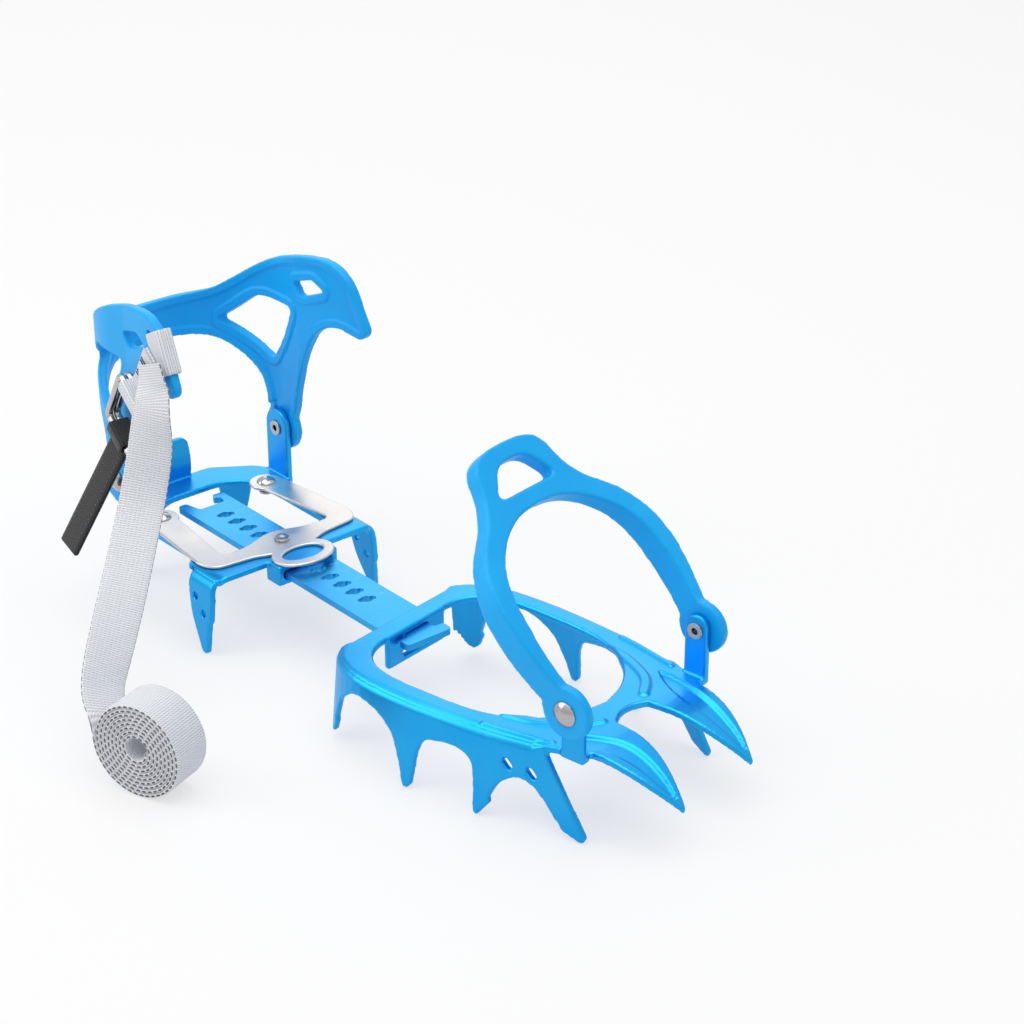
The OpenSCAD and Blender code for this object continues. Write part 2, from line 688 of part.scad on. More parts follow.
// Upright stop behind the boot heel, curved back a little at its top
module heel_stop() {
    curve = smooth([[0, 0], [0.8, stop_h * 0.3], [0.4, stop_h * 0.6], [-1.6, stop_h]]);
    translate([heel_rear_x, 0, sole_z - nudge]) intersection() {
        upright(-stop_w / 2, stop_w) polygon(strip(curve, [sheet, 0]));
        rotate([90, 0, 90]) linear_extrude(height = 6 * sheet, center = true)
            polygon(rounded([[-stop_w / 2, -1, 0], [-stop_w / 2, stop_h, stop_w * 0.3],
                [stop_w / 2, stop_h, stop_w * 0.3], [stop_w / 2, -1, 0]]));
    }
}

// Loop that hangs from the front crossbar and carries the bar
module bar_guide() {
    translate([heel_front_x - 2, 0, 0]) difference() {
        translate([0, -guide_half - sheet, slot_low_z - sheet])
            cube([guide_len, 2 * (guide_half + sheet), sole_z - slot_low_z + sheet]);
        translate([-1, -guide_half, slot_low_z])
            cube([guide_len + 2, 2 * guide_half, under_z - slot_low_z]);
    }
}

module heel_frame() {
    color("deepskyblue") along_bar() {
        difference() {
            sheet_at(sole_z, sheet) difference() {
                polygon(both_sides(heel_plate));
                polygon(both_sides(heel_window));
            }
            translate([pin_x, 0, 0]) cylinder(d = pin_d + pin_play, h = 2 * sole_z);
            for (s = [-1, 1]) translate([latch_rivet_x, s * latch_half, 0])
                cylinder(d = latch_rivet_d, h = 2 * sole_z);
        }
        mirrored_y() {
            heel_front_spike();
            heel_rear_spike();
            pivot_post(heel_post_half, heel_pivot_x, heel_pivot_z, heel_post_w);
        }
        heel_stop();
        bar_guide();
    }
}

// Latch

latch_side = rounded([
    [latch_rivet_x - 2, latch_half + 8, 6], [pin_x - 4, heel_half - 3, 7],
    [heel_front_x - 8, heel_rail_half, 7], [heel_front_x - 6, 19, 4],
    [heel_front_x - 3, 12, 3], [heel_front_x - 3, -1, 0], [pin_x - 9, -1, 0],
    [pin_x - 9, 4, 3],
    [pin_x - 4, 17, 6], [pin_x - 4, heel_rail_half - 8.5, 5],
    [latch_rivet_x + 5, latch_half - 5.5, 3], [latch_rivet_x - 4, latch_half - 8, 5]]);

module latch_spring() {
    finger_x = heel_front_x + finger_len / 2 - 7;
    color("lightgray") along_bar() difference() {
        union() {
            mirrored_y() {
                sheet_at(latch_top_z, latch_t) polygon(latch_side);
                translate([latch_rivet_x, latch_half, sole_z]) cylinder(r = 8, h = latch_t);
            }
            translate([finger_x, 0, 0]) sheet_at(latch_top_z, latch_t)
                polygon(ellipse(finger_len / 2, finger_w / 2));
        }
        translate([finger_x, 0, 0]) sheet_at(2 * sole_z, 2 * sole_z)
            polygon(ellipse(finger_len / 2 - finger_rim, finger_w / 2 - finger_rim));
        translate([pin_x, 0, 0]) cylinder(d = pin_d, h = 2 * sole_z);
        for (s = [-1, 1]) translate([latch_rivet_x, s * latch_half, 0])
            cylinder(d = latch_rivet_d + 2 * latch_play, h = 2 * sole_z);
    }
}

module latch_pin() {
    color("silver") along_bar() translate([pin_x, 0, 0]) {
        translate([0, 0, bar_low_z - 0.1])
            cylinder(d = pin_d, h = latch_top_z - bar_low_z + 0.1);
        translate([0, 0, latch_top_z]) difference() {
            cylinder(d = 1.8 * pin_d, h = 1.2);
            translate([0, 0, 0.6]) cylinder(d = 0.7 * pin_d, h = 1);
        }
    }
}

// Heel cradle

cradle_outline = concat(
    [for (p = round_end(cradle_eye_r, cradle_eye_r - 1.5)) p + [heel_pivot_x, heel_pivot_z]],
    rounded_run([[heel_pivot_x + cradle_eye_r - 1.5, heel_pivot_z], [-162, 84, 10],
        [-155, 106, 10], [-147, 119.5, 10], [-134, wing_top_z - 28, 6],
        [wing_tip_x - 3, wing_top_z - 30.5, 3], [wing_tip_x + 1.5, wing_top_z - 26, 3],
        [-125, wing_top_z - 3, 8], [-137, wing_top_z + 3, 9], [-157, wing_top_z + 0.5, 9],
        [-177, wing_top_z - 6, 9], [-188, wing_top_z - 12, 8], [-198, wing_top_z - 19.5, 6],
        [-207, band_z + band_w / 2 + 1.5, 5],
        [cradle_rear_x - cradle_t - 1, band_z + band_w / 2, 0],
        [cradle_rear_x - cradle_t - 1, band_z - band_w / 2, 0],
        [-206, band_z - band_w / 2 - 3, 5], [-196, band_z - 20.5, 7], [-187.5, band_z - 29, 7],
        [-184, 76, 5], [heel_pivot_x - cradle_eye_r + 1.5, heel_pivot_z]]));

big_window = rounded([[-205, band_z - 4, 3], [-188.5, band_z + 10.5, 5],
    [-164, band_z + 10, 4], [-171, band_z - 6.5, 6], [-180, band_z - 20.5, 3],
    [-195, band_z - 11, 8]]);

small_window = rounded([[-162, wing_top_z - 13.5, 2.5], [-149, wing_top_z - 9.5, 2.5],
    [-141, wing_top_z - 13.5, 2.5], [-157, wing_top_z - 20, 2.5]]);

// Space inside the cradle, grown by the wall: rounded round the heel, with flared wings
module cradle_core(grow) {
    half = cradle_in_r + grow;
    reach = 100;
    flare = reach * tan(wing_flare);
    middle_half = cradle_in_r - cradle_corner_r;
    for (s = [-1, 1]) translate([cradle_x, s * middle_half, 0])
        cylinder(r = cradle_corner_r + grow, h = 2 * wing_top_z, $fn = 96);
    translate([cradle_rear_x - grow, -middle_half, 0])
        cube([cradle_corner_r + grow, 2 * middle_half, 2 * wing_top_z]);
    linear_extrude(height = 2 * wing_top_z)
        polygon([[cradle_x, half], [wing_x, half], [wing_x + reach, half + flare],
            [wing_x + reach, -half - flare], [wing_x, -half], [cradle_x, -half]]);
}

// Axes of the right wing, turned outward about its start
module on_right_wing() {
    translate([wing_x, -cradle_out_r, 0]) rotate([0, 0, -wing_flare])
        translate([-wing_x, cradle_out_r, 0]) children();
}

module heel_cradle() {
    color("dodgerblue") along_bar() difference() {
        union() {
            difference() {
                intersection() {
                    cradle_core(cradle_t);
                    upright(-2 * heel_gap, 4 * heel_gap) polygon(cradle_outline);
                }
                cradle_core(0);
            }
            mirrored_y() pivot_disc(cradle_eye_r + 0.4, heel_eye_in, cradle_out_r);
        }
        pivot_disc(cradle_eye_r + 1.6, -heel_eye_in, heel_eye_in);
        upright(-2 * heel_gap, 4 * heel_gap) polygon(big_window);
        upright(-2 * heel_gap, 4 * heel_gap) polygon(small_window);
        translate([heel_pivot_x, 0, heel_pivot_z]) rotate([90, 0, 0])
            cylinder(d = pivot_rivet_d + 2 * pivot_play, h = 2 * heel_gap, center = true);
        in_limb() upright(-2 * cradle_in_r, 2 * cradle_in_r - 10)
            rotate(90) slot(strap_w + 2.4, slot_w);
    }
}

// Disc about the heel pivot, from y = a to y = b
module pivot_disc(radius, a, b) {
    translate([heel_pivot_x, a, heel_pivot_z]) rotate([-90, 0, 0])
        cylinder(r = radius, h = b - a);
}

// Axes of the right wing's front limb
module in_limb() {
    on_right_wing() translate([limb_x, 0, limb_z]) rotate([0, -limb_tilt, 0]) children();
}

// Strap and buckle

// A sewn loop of webbing round the limb: in through the slot and round the front edge
module limb_loop(half_w, x_in, x_out, extra) {
    y_in = -cradle_in_r + strap_gap + extra;
    y_out = -cradle_out_r - strap_gap - extra;
    in_limb() translate([0, 0, -half_w]) linear_extrude(height = 2 * half_w) difference() {
        translate([x_in - strap_t, y_out - strap_t])
            square([x_out - x_in + 2 * strap_t, y_in - y_out + 2 * strap_t]);
        translate([x_in, y_out]) square([x_out - x_in, y_in - y_out]);
    }
}

module strap_loop() {
    color("gainsboro") along_bar()
        limb_loop(strap_w / 2, strap_t / 2, loop_front, 0);
}

// Buckle ring of round wire with straight ends, lying in X and Z
module wire_ring(w, h) {
    bend = ring_wire_d * 0.9;
    for (s = [-1, 1]) {
        translate([s * (w + ring_wire_d) / 2, 0, 0])
            cylinder(d = ring_wire_d, h = h - 2 * bend + ring_wire_d, center = true);
        translate([0, 0, s * (h + ring_wire_d) / 2]) rotate([0, 90, 0])
            cylinder(d = ring_wire_d, h = w - 2 * bend + ring_wire_d, center = true);
        for (t = [-1, 1])
            translate([s * (w / 2 - bend + ring_wire_d / 2), 0,
                t * (h / 2 - bend + ring_wire_d / 2)])
                rotate([90, 0, 0]) rotate([0, 0, s > 0 ? (t > 0 ? 0 : 270) : (t > 0 ? 90 : 180)])
                    rotate_extrude(angle = 90) translate([bend, 0]) circle(d = ring_wire_d);
    }
}

// Axes of the buckle: x runs up from the rings to the sewn loop, z along the wires
module in_buckle() {
    on_right_wing() translate([ring_bar_x, 0, ring_z]) rotate([0, -buckle_tilt, 0])
        children();
}

module buckle_ring(y) {
    in_buckle() translate([-(ring_h + ring_wire_d) / 2, y, 0]) wire_ring(ring_h, ring_w);
}

module buckle_ring_outer() {
    color("silver") along_bar() buckle_ring(ring_y - ring_step / 2);
}

module buckle_ring_inner() {
    color("silver") along_bar() buckle_ring(ring_y + ring_step / 2);
}

// Space that the wires of both rings take, about [0, 0]
module wire_space(len) {
    translate([-wire_half_x, -wire_half_y, -len])
        cube([2 * wire_half_x, 2 * wire_half_y, 2 * len]);
}

// Outside of the flat sleeve round those wires, len long in z
module wire_sleeve(len) {
    translate([-wire_half_x - strap_t, -wire_half_y - strap_t, -len / 2])
        cube([2 * (wire_half_x + strap_t), 2 * (wire_half_y + strap_t), len]);
}

// Folded webbing from the sewn loop down to the rings
module ring_keeper() {
    color("gainsboro") along_bar() in_buckle() {
        translate([wire_half_x, keeper_out_y, -keeper_w / 2])
            cube([keeper_len, 2 * strap_t, keeper_w]);
        translate([0, ring_y, 0]) difference() {
            wire_sleeve(keeper_w);
            wire_space(keeper_w);
        }
    }
}

// Black tape folded round the far wires of the rings, hanging down and outward
module pull_tail() {
    turn = -22;
    hang = 26;
    color("dimgray") along_bar() in_buckle()
        translate([-ring_h - ring_wire_d, ring_y, 0]) difference() {
            union() {
                wire_sleeve(pull_w);
                translate([-ring_wire_d / 2 - 0.6, 0, 0]) rotate([0, turn, 0])
                    rotate([0, 0, hang]) translate([-pull_len, -strap_t, -pull_w / 2])
                        cube([pull_len, 2 * strap_t, pull_w]);
            }
            wire_space(2 * pull_w);
        }
}

// Free strap, a flat band swept along its route

module strap_tail() {
    steps = 3;
    line = smooth(strap_route, steps);
    face = smooth(strap_across, steps);
    last = len(line) - 1;
    ahead = [for (i = [0:last]) i == last ? [0, 0, -1]
        : i == 0 ? unit(line[1] - line[0]) : unit(line[i + 1] - line[i - 1])];
    across = [for (i = [0:last]) unit(face[i] - ahead[i] * (face[i] * ahead[i]))];
    corners = [for (i = [0:last]) let (a = across[i] * strap_w / 2,
        b = cross(ahead[i], across[i]) * strap_t / 2)
        each [line[i] - a - b, line[i] + a - b, line[i] + a + b, line[i] - a + b]];
    sides = [for (i = [0:last - 1]) for (k = [0:3])
        let (p = 4 * i + k, q = 4 * i + (k + 1) % 4)
        each [[p, q + 4, q], [p, p + 4, q + 4]]];
    ends = [[0, 1, 2], [0, 2, 3], [4 * last, 4 * last + 2, 4 * last + 1],
        [4 * last, 4 * last + 3, 4 * last + 2]];
    color("gainsboro") placed() polyhedron(corners, concat(sides, ends));
}

// Wound strap: one strip in a spiral of round steps, 24 to a turn

function spiral(offset) = [for (i = [0:24 * roll_turns])
    let (a = 180 + 360 * roll_turns - 15 * i,
        r = roll_hole_r + strap_t / 2 + roll_pitch * i / 24 + offset)
    r * [cos(a), sin(a)]];

roll_outer = spiral(strap_t / 2);
roll_inner = spiral(-strap_t / 2);

// Least gap of the strip to its own next turn, from each outer point to the inner line
function line_gap(p, a, b) = abs(cross(unit(b - a), p - a));
roll_gap = min([for (i = [0:len(roll_outer) - 26])
    line_gap(roll_outer[i], roll_inner[i + 24], roll_inner[i + 25])]);
echo(least_gap_in_strap_roll = roll_gap);

module strap_roll() {
    color("gainsboro") placed() translate(roll_centre) rotate([0, 0, roll_turn])
        upright(-strap_w / 2, strap_w)
            polygon(concat(roll_outer, [for (i = [len(roll_inner) - 1:-1:0]) roll_inner[i]]));
}

front_frame();
toe_rivet_left();
toe_rivet_right();
toe_bail();
linking_bar();
heel_frame();
cradle_rivet_left();
cradle_rivet_right();
latch_rivet_left();
latch_rivet_right();
latch_spring();
latch_pin();
heel_cradle();
strap_loop();
ring_keeper();
buckle_ring_outer();
buckle_ring_inner();
pull_tail();
strap_tail();
strap_roll();
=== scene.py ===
"""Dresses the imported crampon: softened metal and plastic, webbing, rivets, floor, light and camera.

Sizes are in millimetres in the part's own axes unless a name ends in _m, and meshes are in metres.
"""

from __future__ import annotations

import json
import logging
import math
from dataclasses import dataclass, field
from enum import Enum
from typing import Callable, Optional, Sequence

import bmesh
import bpy
import numpy as np
from mathutils import Matrix, Vector
from mathutils.bvhtree import BVHTree
from mathutils.kdtree import KDTree

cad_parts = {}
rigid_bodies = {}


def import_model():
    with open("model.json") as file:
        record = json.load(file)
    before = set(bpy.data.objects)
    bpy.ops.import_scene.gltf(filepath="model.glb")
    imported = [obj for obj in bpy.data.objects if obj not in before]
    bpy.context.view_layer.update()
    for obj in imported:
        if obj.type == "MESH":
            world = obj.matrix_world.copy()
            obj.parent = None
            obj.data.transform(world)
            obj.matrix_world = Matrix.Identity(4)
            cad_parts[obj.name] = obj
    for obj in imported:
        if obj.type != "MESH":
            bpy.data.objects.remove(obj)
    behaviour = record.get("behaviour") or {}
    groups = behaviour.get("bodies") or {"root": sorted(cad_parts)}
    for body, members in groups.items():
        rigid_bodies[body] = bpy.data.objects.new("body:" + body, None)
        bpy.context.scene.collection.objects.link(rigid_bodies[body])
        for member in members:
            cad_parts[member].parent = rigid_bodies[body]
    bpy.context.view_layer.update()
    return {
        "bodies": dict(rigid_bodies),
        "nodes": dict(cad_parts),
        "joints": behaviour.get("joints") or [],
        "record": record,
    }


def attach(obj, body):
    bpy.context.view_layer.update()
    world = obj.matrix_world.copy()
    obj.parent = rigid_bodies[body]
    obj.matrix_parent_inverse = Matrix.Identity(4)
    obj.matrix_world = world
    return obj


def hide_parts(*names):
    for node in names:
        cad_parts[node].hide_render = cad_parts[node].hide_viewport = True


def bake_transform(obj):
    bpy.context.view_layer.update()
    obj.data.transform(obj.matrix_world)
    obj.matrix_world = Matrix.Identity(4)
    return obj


LOG = logging.getLogger("crampon")
MM = 0.001
Array = np.ndarray
Material = bpy.types.Material
Mesh = bpy.types.Mesh
Object = bpy.types.Object
Socket = bpy.types.NodeSocket
Place = tuple[float, float, float]
Rgba = tuple[float, float, float, float]
Flat = tuple[tuple[float, float], ...]
Shaper = Callable[[Array], Array]


class Body(Enum):
    """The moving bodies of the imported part."""

    FRONT = "front_section"
    BAIL = "toe_bail"
    BAR = "linking_bar"
    HEEL = "heel_section"
    LATCH = "latch"
    CRADLE = "heel_cradle"


class Slot(Enum):
    """The record's material slots."""

    FRAME = "anodised_frame"
    BAR = "anodised_bar"
    PLASTIC = "blue_plastic"
    SPRING = "spring_steel"
    RIVET = "rivet_steel"
    RING = "ring_steel"
    WEBBING = "webbing"
    TAPE = "black_tape"


@dataclass(frozen=True)
class Axes:
    """Places of the part's own axes, repeated from the part's source."""

    middle: tuple[float, float] = (-36.2, 9.8)
    bar_pivot_x: float = -19.5
    bar_turn: float = -10.0
    wing_x: float = -160.0
    wing_flare: float = 6.5
    cradle_out_r: float = 48.0
    limb: Place = (-131.6, 138.5, 27.0)
    buckle: Place = (-139.481, 118.102, 57.0)

    def placed(self) -> Matrix:
        """Front section axes to the part's frame."""
        return Matrix.Translation((-self.middle[0], -self.middle[1], 0))

    def along_bar(self) -> Matrix:
        """Heel section axes to the part's frame.

        Returns:
            The matrix.
        """
        pivot = Matrix.Translation((self.bar_pivot_x, 0, 0))
        turn = Matrix.Rotation(math.radians(self.bar_turn), 4, "Z")
        return self.placed() @ pivot @ turn @ pivot.inverted()

    def on_right_wing(self) -> Matrix:
        """Right wing axes to the part's frame.

        Returns:
            The matrix.
        """
        hinge = Matrix.Translation((self.wing_x, -self.cradle_out_r, 0))
        turn = Matrix.Rotation(math.radians(-self.wing_flare), 4, "Z")
        return self.along_bar() @ hinge @ turn @ hinge.inverted()

    def tilted(self, place: Place) -> Matrix:
        """Axes at x, z and a tilt in degrees on the right wing, to the part's frame."""
        move = Matrix.Translation((place[0], 0, place[1]))
        return self.on_right_wing() @ move @ Matrix.Rotation(math.radians(-place[2]), 4, "Y")


AXES = Axes()


class Graph:
    """A small helper that adds and links the nodes of one tree."""

    def __init__(self, tree: bpy.types.NodeTree) -> None:
        """Keeps the tree that nodes are added to."""
        self.tree = tree

    def add(self, kind: str, **values: object) -> bpy.types.Node:
        """Adds a node.

        Args:
            kind: The node's Blender type.
            values: Attributes, or inputs by name with spaces as underscores.

        Returns:
            The new node.
        """
        node = self.tree.nodes.new(kind)
        for key, value in values.items():
            if hasattr(node, key):
                setattr(node, key, value)
            else:
                self.put(node.inputs[key.replace("_", " ")], value)
        return node

    def put(self, socket: Socket, value: object) -> None:
        """Links an output to an input, or sets the input to a plain value.

        Args:
            socket: The input.
            value: An output or a plain value.
        """
        if isinstance(value, Socket):
            self.link(value, socket)
        else:
            socket.default_value = value

    def link(self, a: Socket, b: Socket) -> None:
        """Links an output to an input."""
        self.tree.links.new(a, b)

    def maths(self, operation: str, a: object, b: object = 0.0) -> Socket:
        """Adds a Math node.

        Args:
            operation: The operation's Blender name.
            a: First number or socket.
            b: Second number or socket.

        Returns:
            The node's output.
        """
        node = self.tree.nodes.new("ShaderNodeMath")
        node.operation = operation
        self.put(node.inputs[0], a)
        self.put(node.inputs[1], b)
        return node.outputs[0]

    def mix(self, factor: object, a: object, b: object) -> Socket:
        """Mixes two colours.

        Args:
            factor: Share of b, a number or socket.
            a: First colour.
            b: Second colour.

        Returns:
            The mixed colour.
        """
        node = self.tree.nodes.new("ShaderNodeMix")
        node.data_type = "RGBA"
        for index, value in ((0, factor), (6, a), (7, b)):
            self.put(node.inputs[index], value)
        return node.outputs[2]

    def place(self) -> Socket:
        """The place on the object, in metres."""
        return self.add("ShaderNodeTexCoord").outputs["Object"]

    def stretched(self, place: Socket, scale: Place, turn: float = 0.0) -> Socket:
        """A place turned about z by some degrees and scaled.

        Args:
            place: The place.
            scale: The scale each way.
            turn: The turn.

        Returns:
            The new place.
        """
        node = self.add("ShaderNodeMapping")
        self.link(place, node.inputs["Vector"])
        node.inputs["Rotation"].default_value = (0, 0, math.radians(turn))
        node.inputs["Scale"].default_value = scale
        return node.outputs["Vector"]

    def noise(self, vector: Socket, scale: float, detail: float = 3.0) -> Socket:
        """Adds a noise texture.

        Args:
            vector: The place.
            scale: How fine it is.
            detail: How many finer layers it has.

        Returns:
            The grey output.
        """
        node = self.add("ShaderNodeTexNoise", Scale=scale, Detail=detail)
        self.link(vector, node.inputs["Vector"])
        return node.outputs["Fac"]

    def ranged(self, value: Socket, low: float, high: float, a: float, b: float) -> Socket:
        """Maps a grey value from one range to another.

        Args:
            value: The grey value.
            low: Start of its range.
            high: End of its range.
            a: What low becomes.
            b: What high becomes.

        Returns:
            The new value.
        """
        node = self.add("ShaderNodeMapRange")
        self.link(value, node.inputs[0])
        for index, number in enumerate((low, high, a, b)):
            node.inputs[index + 1].default_value = number
        return node.outputs[0]


def colour(red: float, green: float, blue: float) -> Rgba:
    """A linear colour from sRGB values of 0 to 255.

    Args:
        red: The red value.
        green: The green value.
        blue: The blue value.

    Returns:
        Red, green and blue in linear light, and an alpha of 1.
    """
    shares = [c / 255 for c in (red, green, blue)]
    linear = [c / 12.92 if c <= 0.04045 else ((c + 0.055) / 1.055) ** 2.4 for c in shares]
    return (linear[0], linear[1], linear[2], 1.0)


@dataclass(frozen=True)
class Finish:
    """What every finish has: a name and a way to start its material."""

    name: str

    def start(self) -> tuple[Material, Graph, bpy.types.Node]:
        """Makes an empty material.

        Returns:
            The material, its graph and its shader node.
        """
        material = bpy.data.materials.new(self.name)
        material.use_nodes = True
        graph = Graph(material.node_tree)
        return material, graph, material.node_tree.nodes["Principled BSDF"]

    def bumped(self, graph: Graph, shader: bpy.types.Node, height: object, far: float) -> None:
        """Gives the shader a bump.

        Args:
            graph: The material's graph.
            shader: Its shader node.
            height: The height, 0 to 1.
            far: What a height of 1 is, in metres.
        """
        bump = graph.add("ShaderNodeBump", Strength=1.0, Distance=far)
        graph.link(height, bump.inputs["Height"])
        graph.link(bump.outputs["Normal"], shader.inputs["Normal"])


@dataclass(frozen=True)
class AnodisedMetal(Finish):
    """Satin dyed aluminium with rolling grain."""

    base: Rgba = colour(28, 164, 232)
    pale: Rgba = colour(104, 204, 246)
    roughness: float = 0.31
    grain: Place = (260.0, 2400.0, 2400.0)
    depth: float = 0.0000008

    def build(self) -> Material:
        """Makes the material.

        Returns:
            The material.
        """
        material, graph, shader = self.start()
        place = graph.place()
        grain = graph.noise(graph.stretched(place, self.grain), 1.0, 4.0)
        cloud = graph.noise(place, 45.0, 2.0)
        tone = graph.ranged(cloud, 0.3, 0.7, 0.0, 0.10)
        graph.link(graph.mix(tone, self.base, self.pale), shader.inputs["Base Color"])
        rough = graph.ranged(grain, 0.3, 0.7, self.roughness - 0.02, self.roughness + 0.03)
        graph.link(rough, shader.inputs["Roughness"])
        shader.inputs["Metallic"].default_value = 0.9
        self.bumped(graph, shader, grain, self.depth)
        return material


@dataclass(frozen=True)
class MouldedPlastic(Finish):
    """Satin nylon with a fine moulded texture."""

    base: Rgba = colour(2, 176, 248)
    deep: Rgba = colour(1, 167, 241)
    roughness: float = 0.40

    def build(self) -> Material:
        """Makes the material.

        Returns:
            The material.
        """
        material, graph, shader = self.start()
        place = graph.place()
        cloud = graph.noise(place, 30.0, 2.0)
        fine = graph.noise(place, 2600.0, 2.0)
        tone = graph.ranged(cloud, 0.3, 0.7, 0.0, 1.0)
        graph.link(graph.mix(tone, self.base, self.deep), shader.inputs["Base Color"])
        rough = graph.ranged(fine, 0.3, 0.7, self.roughness - 0.04, self.roughness + 0.06)
        graph.link(rough, shader.inputs["Roughness"])
        shader.inputs["Specular IOR Level"].default_value = 0.3
        shader.inputs["Subsurface Weight"].default_value = 0.04
        shader.inputs["Subsurface Radius"].default_value = (0.001, 0.002, 0.003)
        self.bumped(graph, shader, fine, 0.00003)
        return material


@dataclass(frozen=True)
class BrushedSteel(Finish):
    """Stainless steel with brush lines along one way."""

    base: Rgba = colour(216, 213, 210)
    roughness: float = 0.33
    lines: Place = (60.0, 2200.0, 2200.0)
    turn: float = 0.0
    depth: float = 0.00003

    def build(self) -> Material:
        """Makes the material.

        Returns:
            The material.
        """
        material, graph, shader = self.start()
        place = graph.place()
        grain = graph.noise(graph.stretched(place, self.lines, self.turn), 1.0, 5.0)
        cloud = graph.noise(place, 60.0, 2.0)
        tone = graph.ranged(grain, 0.25, 0.75, 0.0, 0.35)
        dark = tuple(0.72 * c for c in self.base[:3]) + (1.0,)
        graph.link(graph.mix(tone, self.base, dark), shader.inputs["Base Color"])
        rough = graph.ranged(cloud, 0.3, 0.7, self.roughness - 0.05, self.roughness + 0.08)
        graph.link(rough, shader.inputs["Roughness"])
        shader.inputs["Metallic"].default_value = 1.0
        self.bumped(graph, shader, grain, self.depth)
        return material


@dataclass(frozen=True)
class Webbing(Finish):
    """Woven tape on the band's own UV map: u along the band, v across it, both in metres; the grooves
    between its ribs get painted shade.
    """

    base: Rgba = colour(236, 237, 240)
    # painted shade: the colour of the grooves between the ribs
    painted_groove_shade: Rgba = colour(196, 199, 206)
    fleck: Rgba = colour(82, 80, 88)
    half_w_m: float = 0.010
    rib_m: float = 0.0011
    fleck_m: float = 0.0030
    edge_flecks: float = 0.9

    def build(self) -> Material:
        """Makes the material.

        Returns:
            The material.
        """
        material, graph, shader = self.start()
        uv = graph.add("ShaderNodeUVMap", uv_map="band").outputs["UV"]
        parts = graph.add("ShaderNodeSeparateXYZ")
        graph.link(uv, parts.inputs[0])
        along, across = parts.outputs[0], parts.outputs[1]
        turn = graph.maths("MULTIPLY", along, 2 * math.pi / self.rib_m)
        warp = graph.maths("MULTIPLY", across, 2 * math.pi / (1.6 * self.rib_m))
        rib = graph.ranged(graph.maths("SINE", turn), -1, 1, 0, 1)
        yarn = graph.ranged(graph.maths("SINE", graph.maths("ADD", warp, turn)), -1, 1, 0, 1)
        weave = graph.maths("ADD", graph.maths("MULTIPLY", rib, 0.65),
                            graph.maths("MULTIPLY", yarn, 0.35))
        # painted shade: where the weave's bump is low, in the grooves between the ribs, the colour
        # turns darker
        tone = graph.mix(graph.ranged(weave, 0.15, 0.75, 1.0, 0.0), self.base, self.painted_groove_shade)
        phase = graph.maths("FRACT", graph.maths("DIVIDE", along, self.fleck_m))
        beside = graph.ranged(graph.maths("ABSOLUTE", graph.maths("SUBTRACT", phase, 0.5)),
                              0.0, 0.5, 0.0, 1.3)
        depth = graph.ranged(graph.maths("ABSOLUTE", across), self.half_w_m, 0.967 * self.half_w_m,
                             0.0, 1.6)
        oval = graph.maths("ADD", graph.maths("MULTIPLY", beside, beside),
                           graph.maths("MULTIPLY", depth, depth))
        dotted = graph.ranged(oval, 0.85, 1.1, self.edge_flecks, 0.0)
        graph.link(graph.mix(dotted, tone, self.fleck), shader.inputs["Base Color"])
        shader.inputs["Roughness"].default_value = 0.75
        shader.inputs["Sheen Weight"].default_value = 0.25
        shader.inputs["Sheen Roughness"].default_value = 0.5
        self.bumped(graph, shader, weave, 0.00022)
        return material


@dataclass(frozen=True)
class PlainThread(Finish):
    """Twisted sewing thread or a painted mark in one tone with a little variation."""

    base: Rgba = colour(20, 20, 22)
    roughness: float = 0.7

    def build(self) -> Material:
        """Makes the material.

        Returns:
            The material.
        """
        material, graph, shader = self.start()
        place = graph.place()
        twist = graph.noise(place, 4000.0, 2.0)
        pale = tuple(min(1.0, 1.5 * c + 0.02) for c in self.base[:3]) + (1.0,)
        graph.link(graph.mix(graph.ranged(twist, 0.3, 0.7, 0, 0.5), self.base, pale),
                   shader.inputs["Base Color"])
        shader.inputs["Roughness"].default_value = self.roughness
        self.bumped(graph, shader, twist, 0.00006)
        return material


def mesh_object(name: str, mesh: Mesh) -> Object:
    """Links a mesh into the scene as an object at the origin.

    Args:
        name: The object's name.
        mesh: Its mesh.

    Returns:
        The object.
    """
    made = bpy.data.objects.new(name, mesh)
    bpy.context.scene.collection.objects.link(made)
    return made


def settled(made: Object) -> Object:
    """Turns an object's modifiers into a plain mesh.

    Args:
        made: The object with modifiers.

    Returns:
        The same object, without modifiers and shaded smooth.
    """
    bpy.context.view_layer.update()
    graph = bpy.context.evaluated_depsgraph_get()
    mesh = bpy.data.meshes.new_from_object(made.evaluated_get(graph))
    made.modifiers.clear()
    made.data = mesh
    mesh.name = made.name
    mesh.shade_smooth()
    return made


def points_of(mesh: Mesh) -> Array:
    """The mesh's points in millimetres.

    Args:
        mesh: The mesh.

    Returns:
        One row for each point.
    """
    found = np.zeros(3 * len(mesh.vertices))
    mesh.vertices.foreach_get("co", found)
    return found.reshape(-1, 3) / MM


def move_points(mesh: Mesh, points: Array) -> None:
    """Sets the mesh's points, given in millimetres."""
    mesh.vertices.foreach_set("co", (points * MM).ravel())
    mesh.update()


def normals_of(mesh: Mesh) -> Array:
    """The mesh's point normals.

    Args:
        mesh: The mesh.

    Returns:
        One row for each point.
    """
    found = np.zeros(3 * len(mesh.vertices))
    mesh.vertex_normals.foreach_get("vector", found)
    return found.reshape(-1, 3)


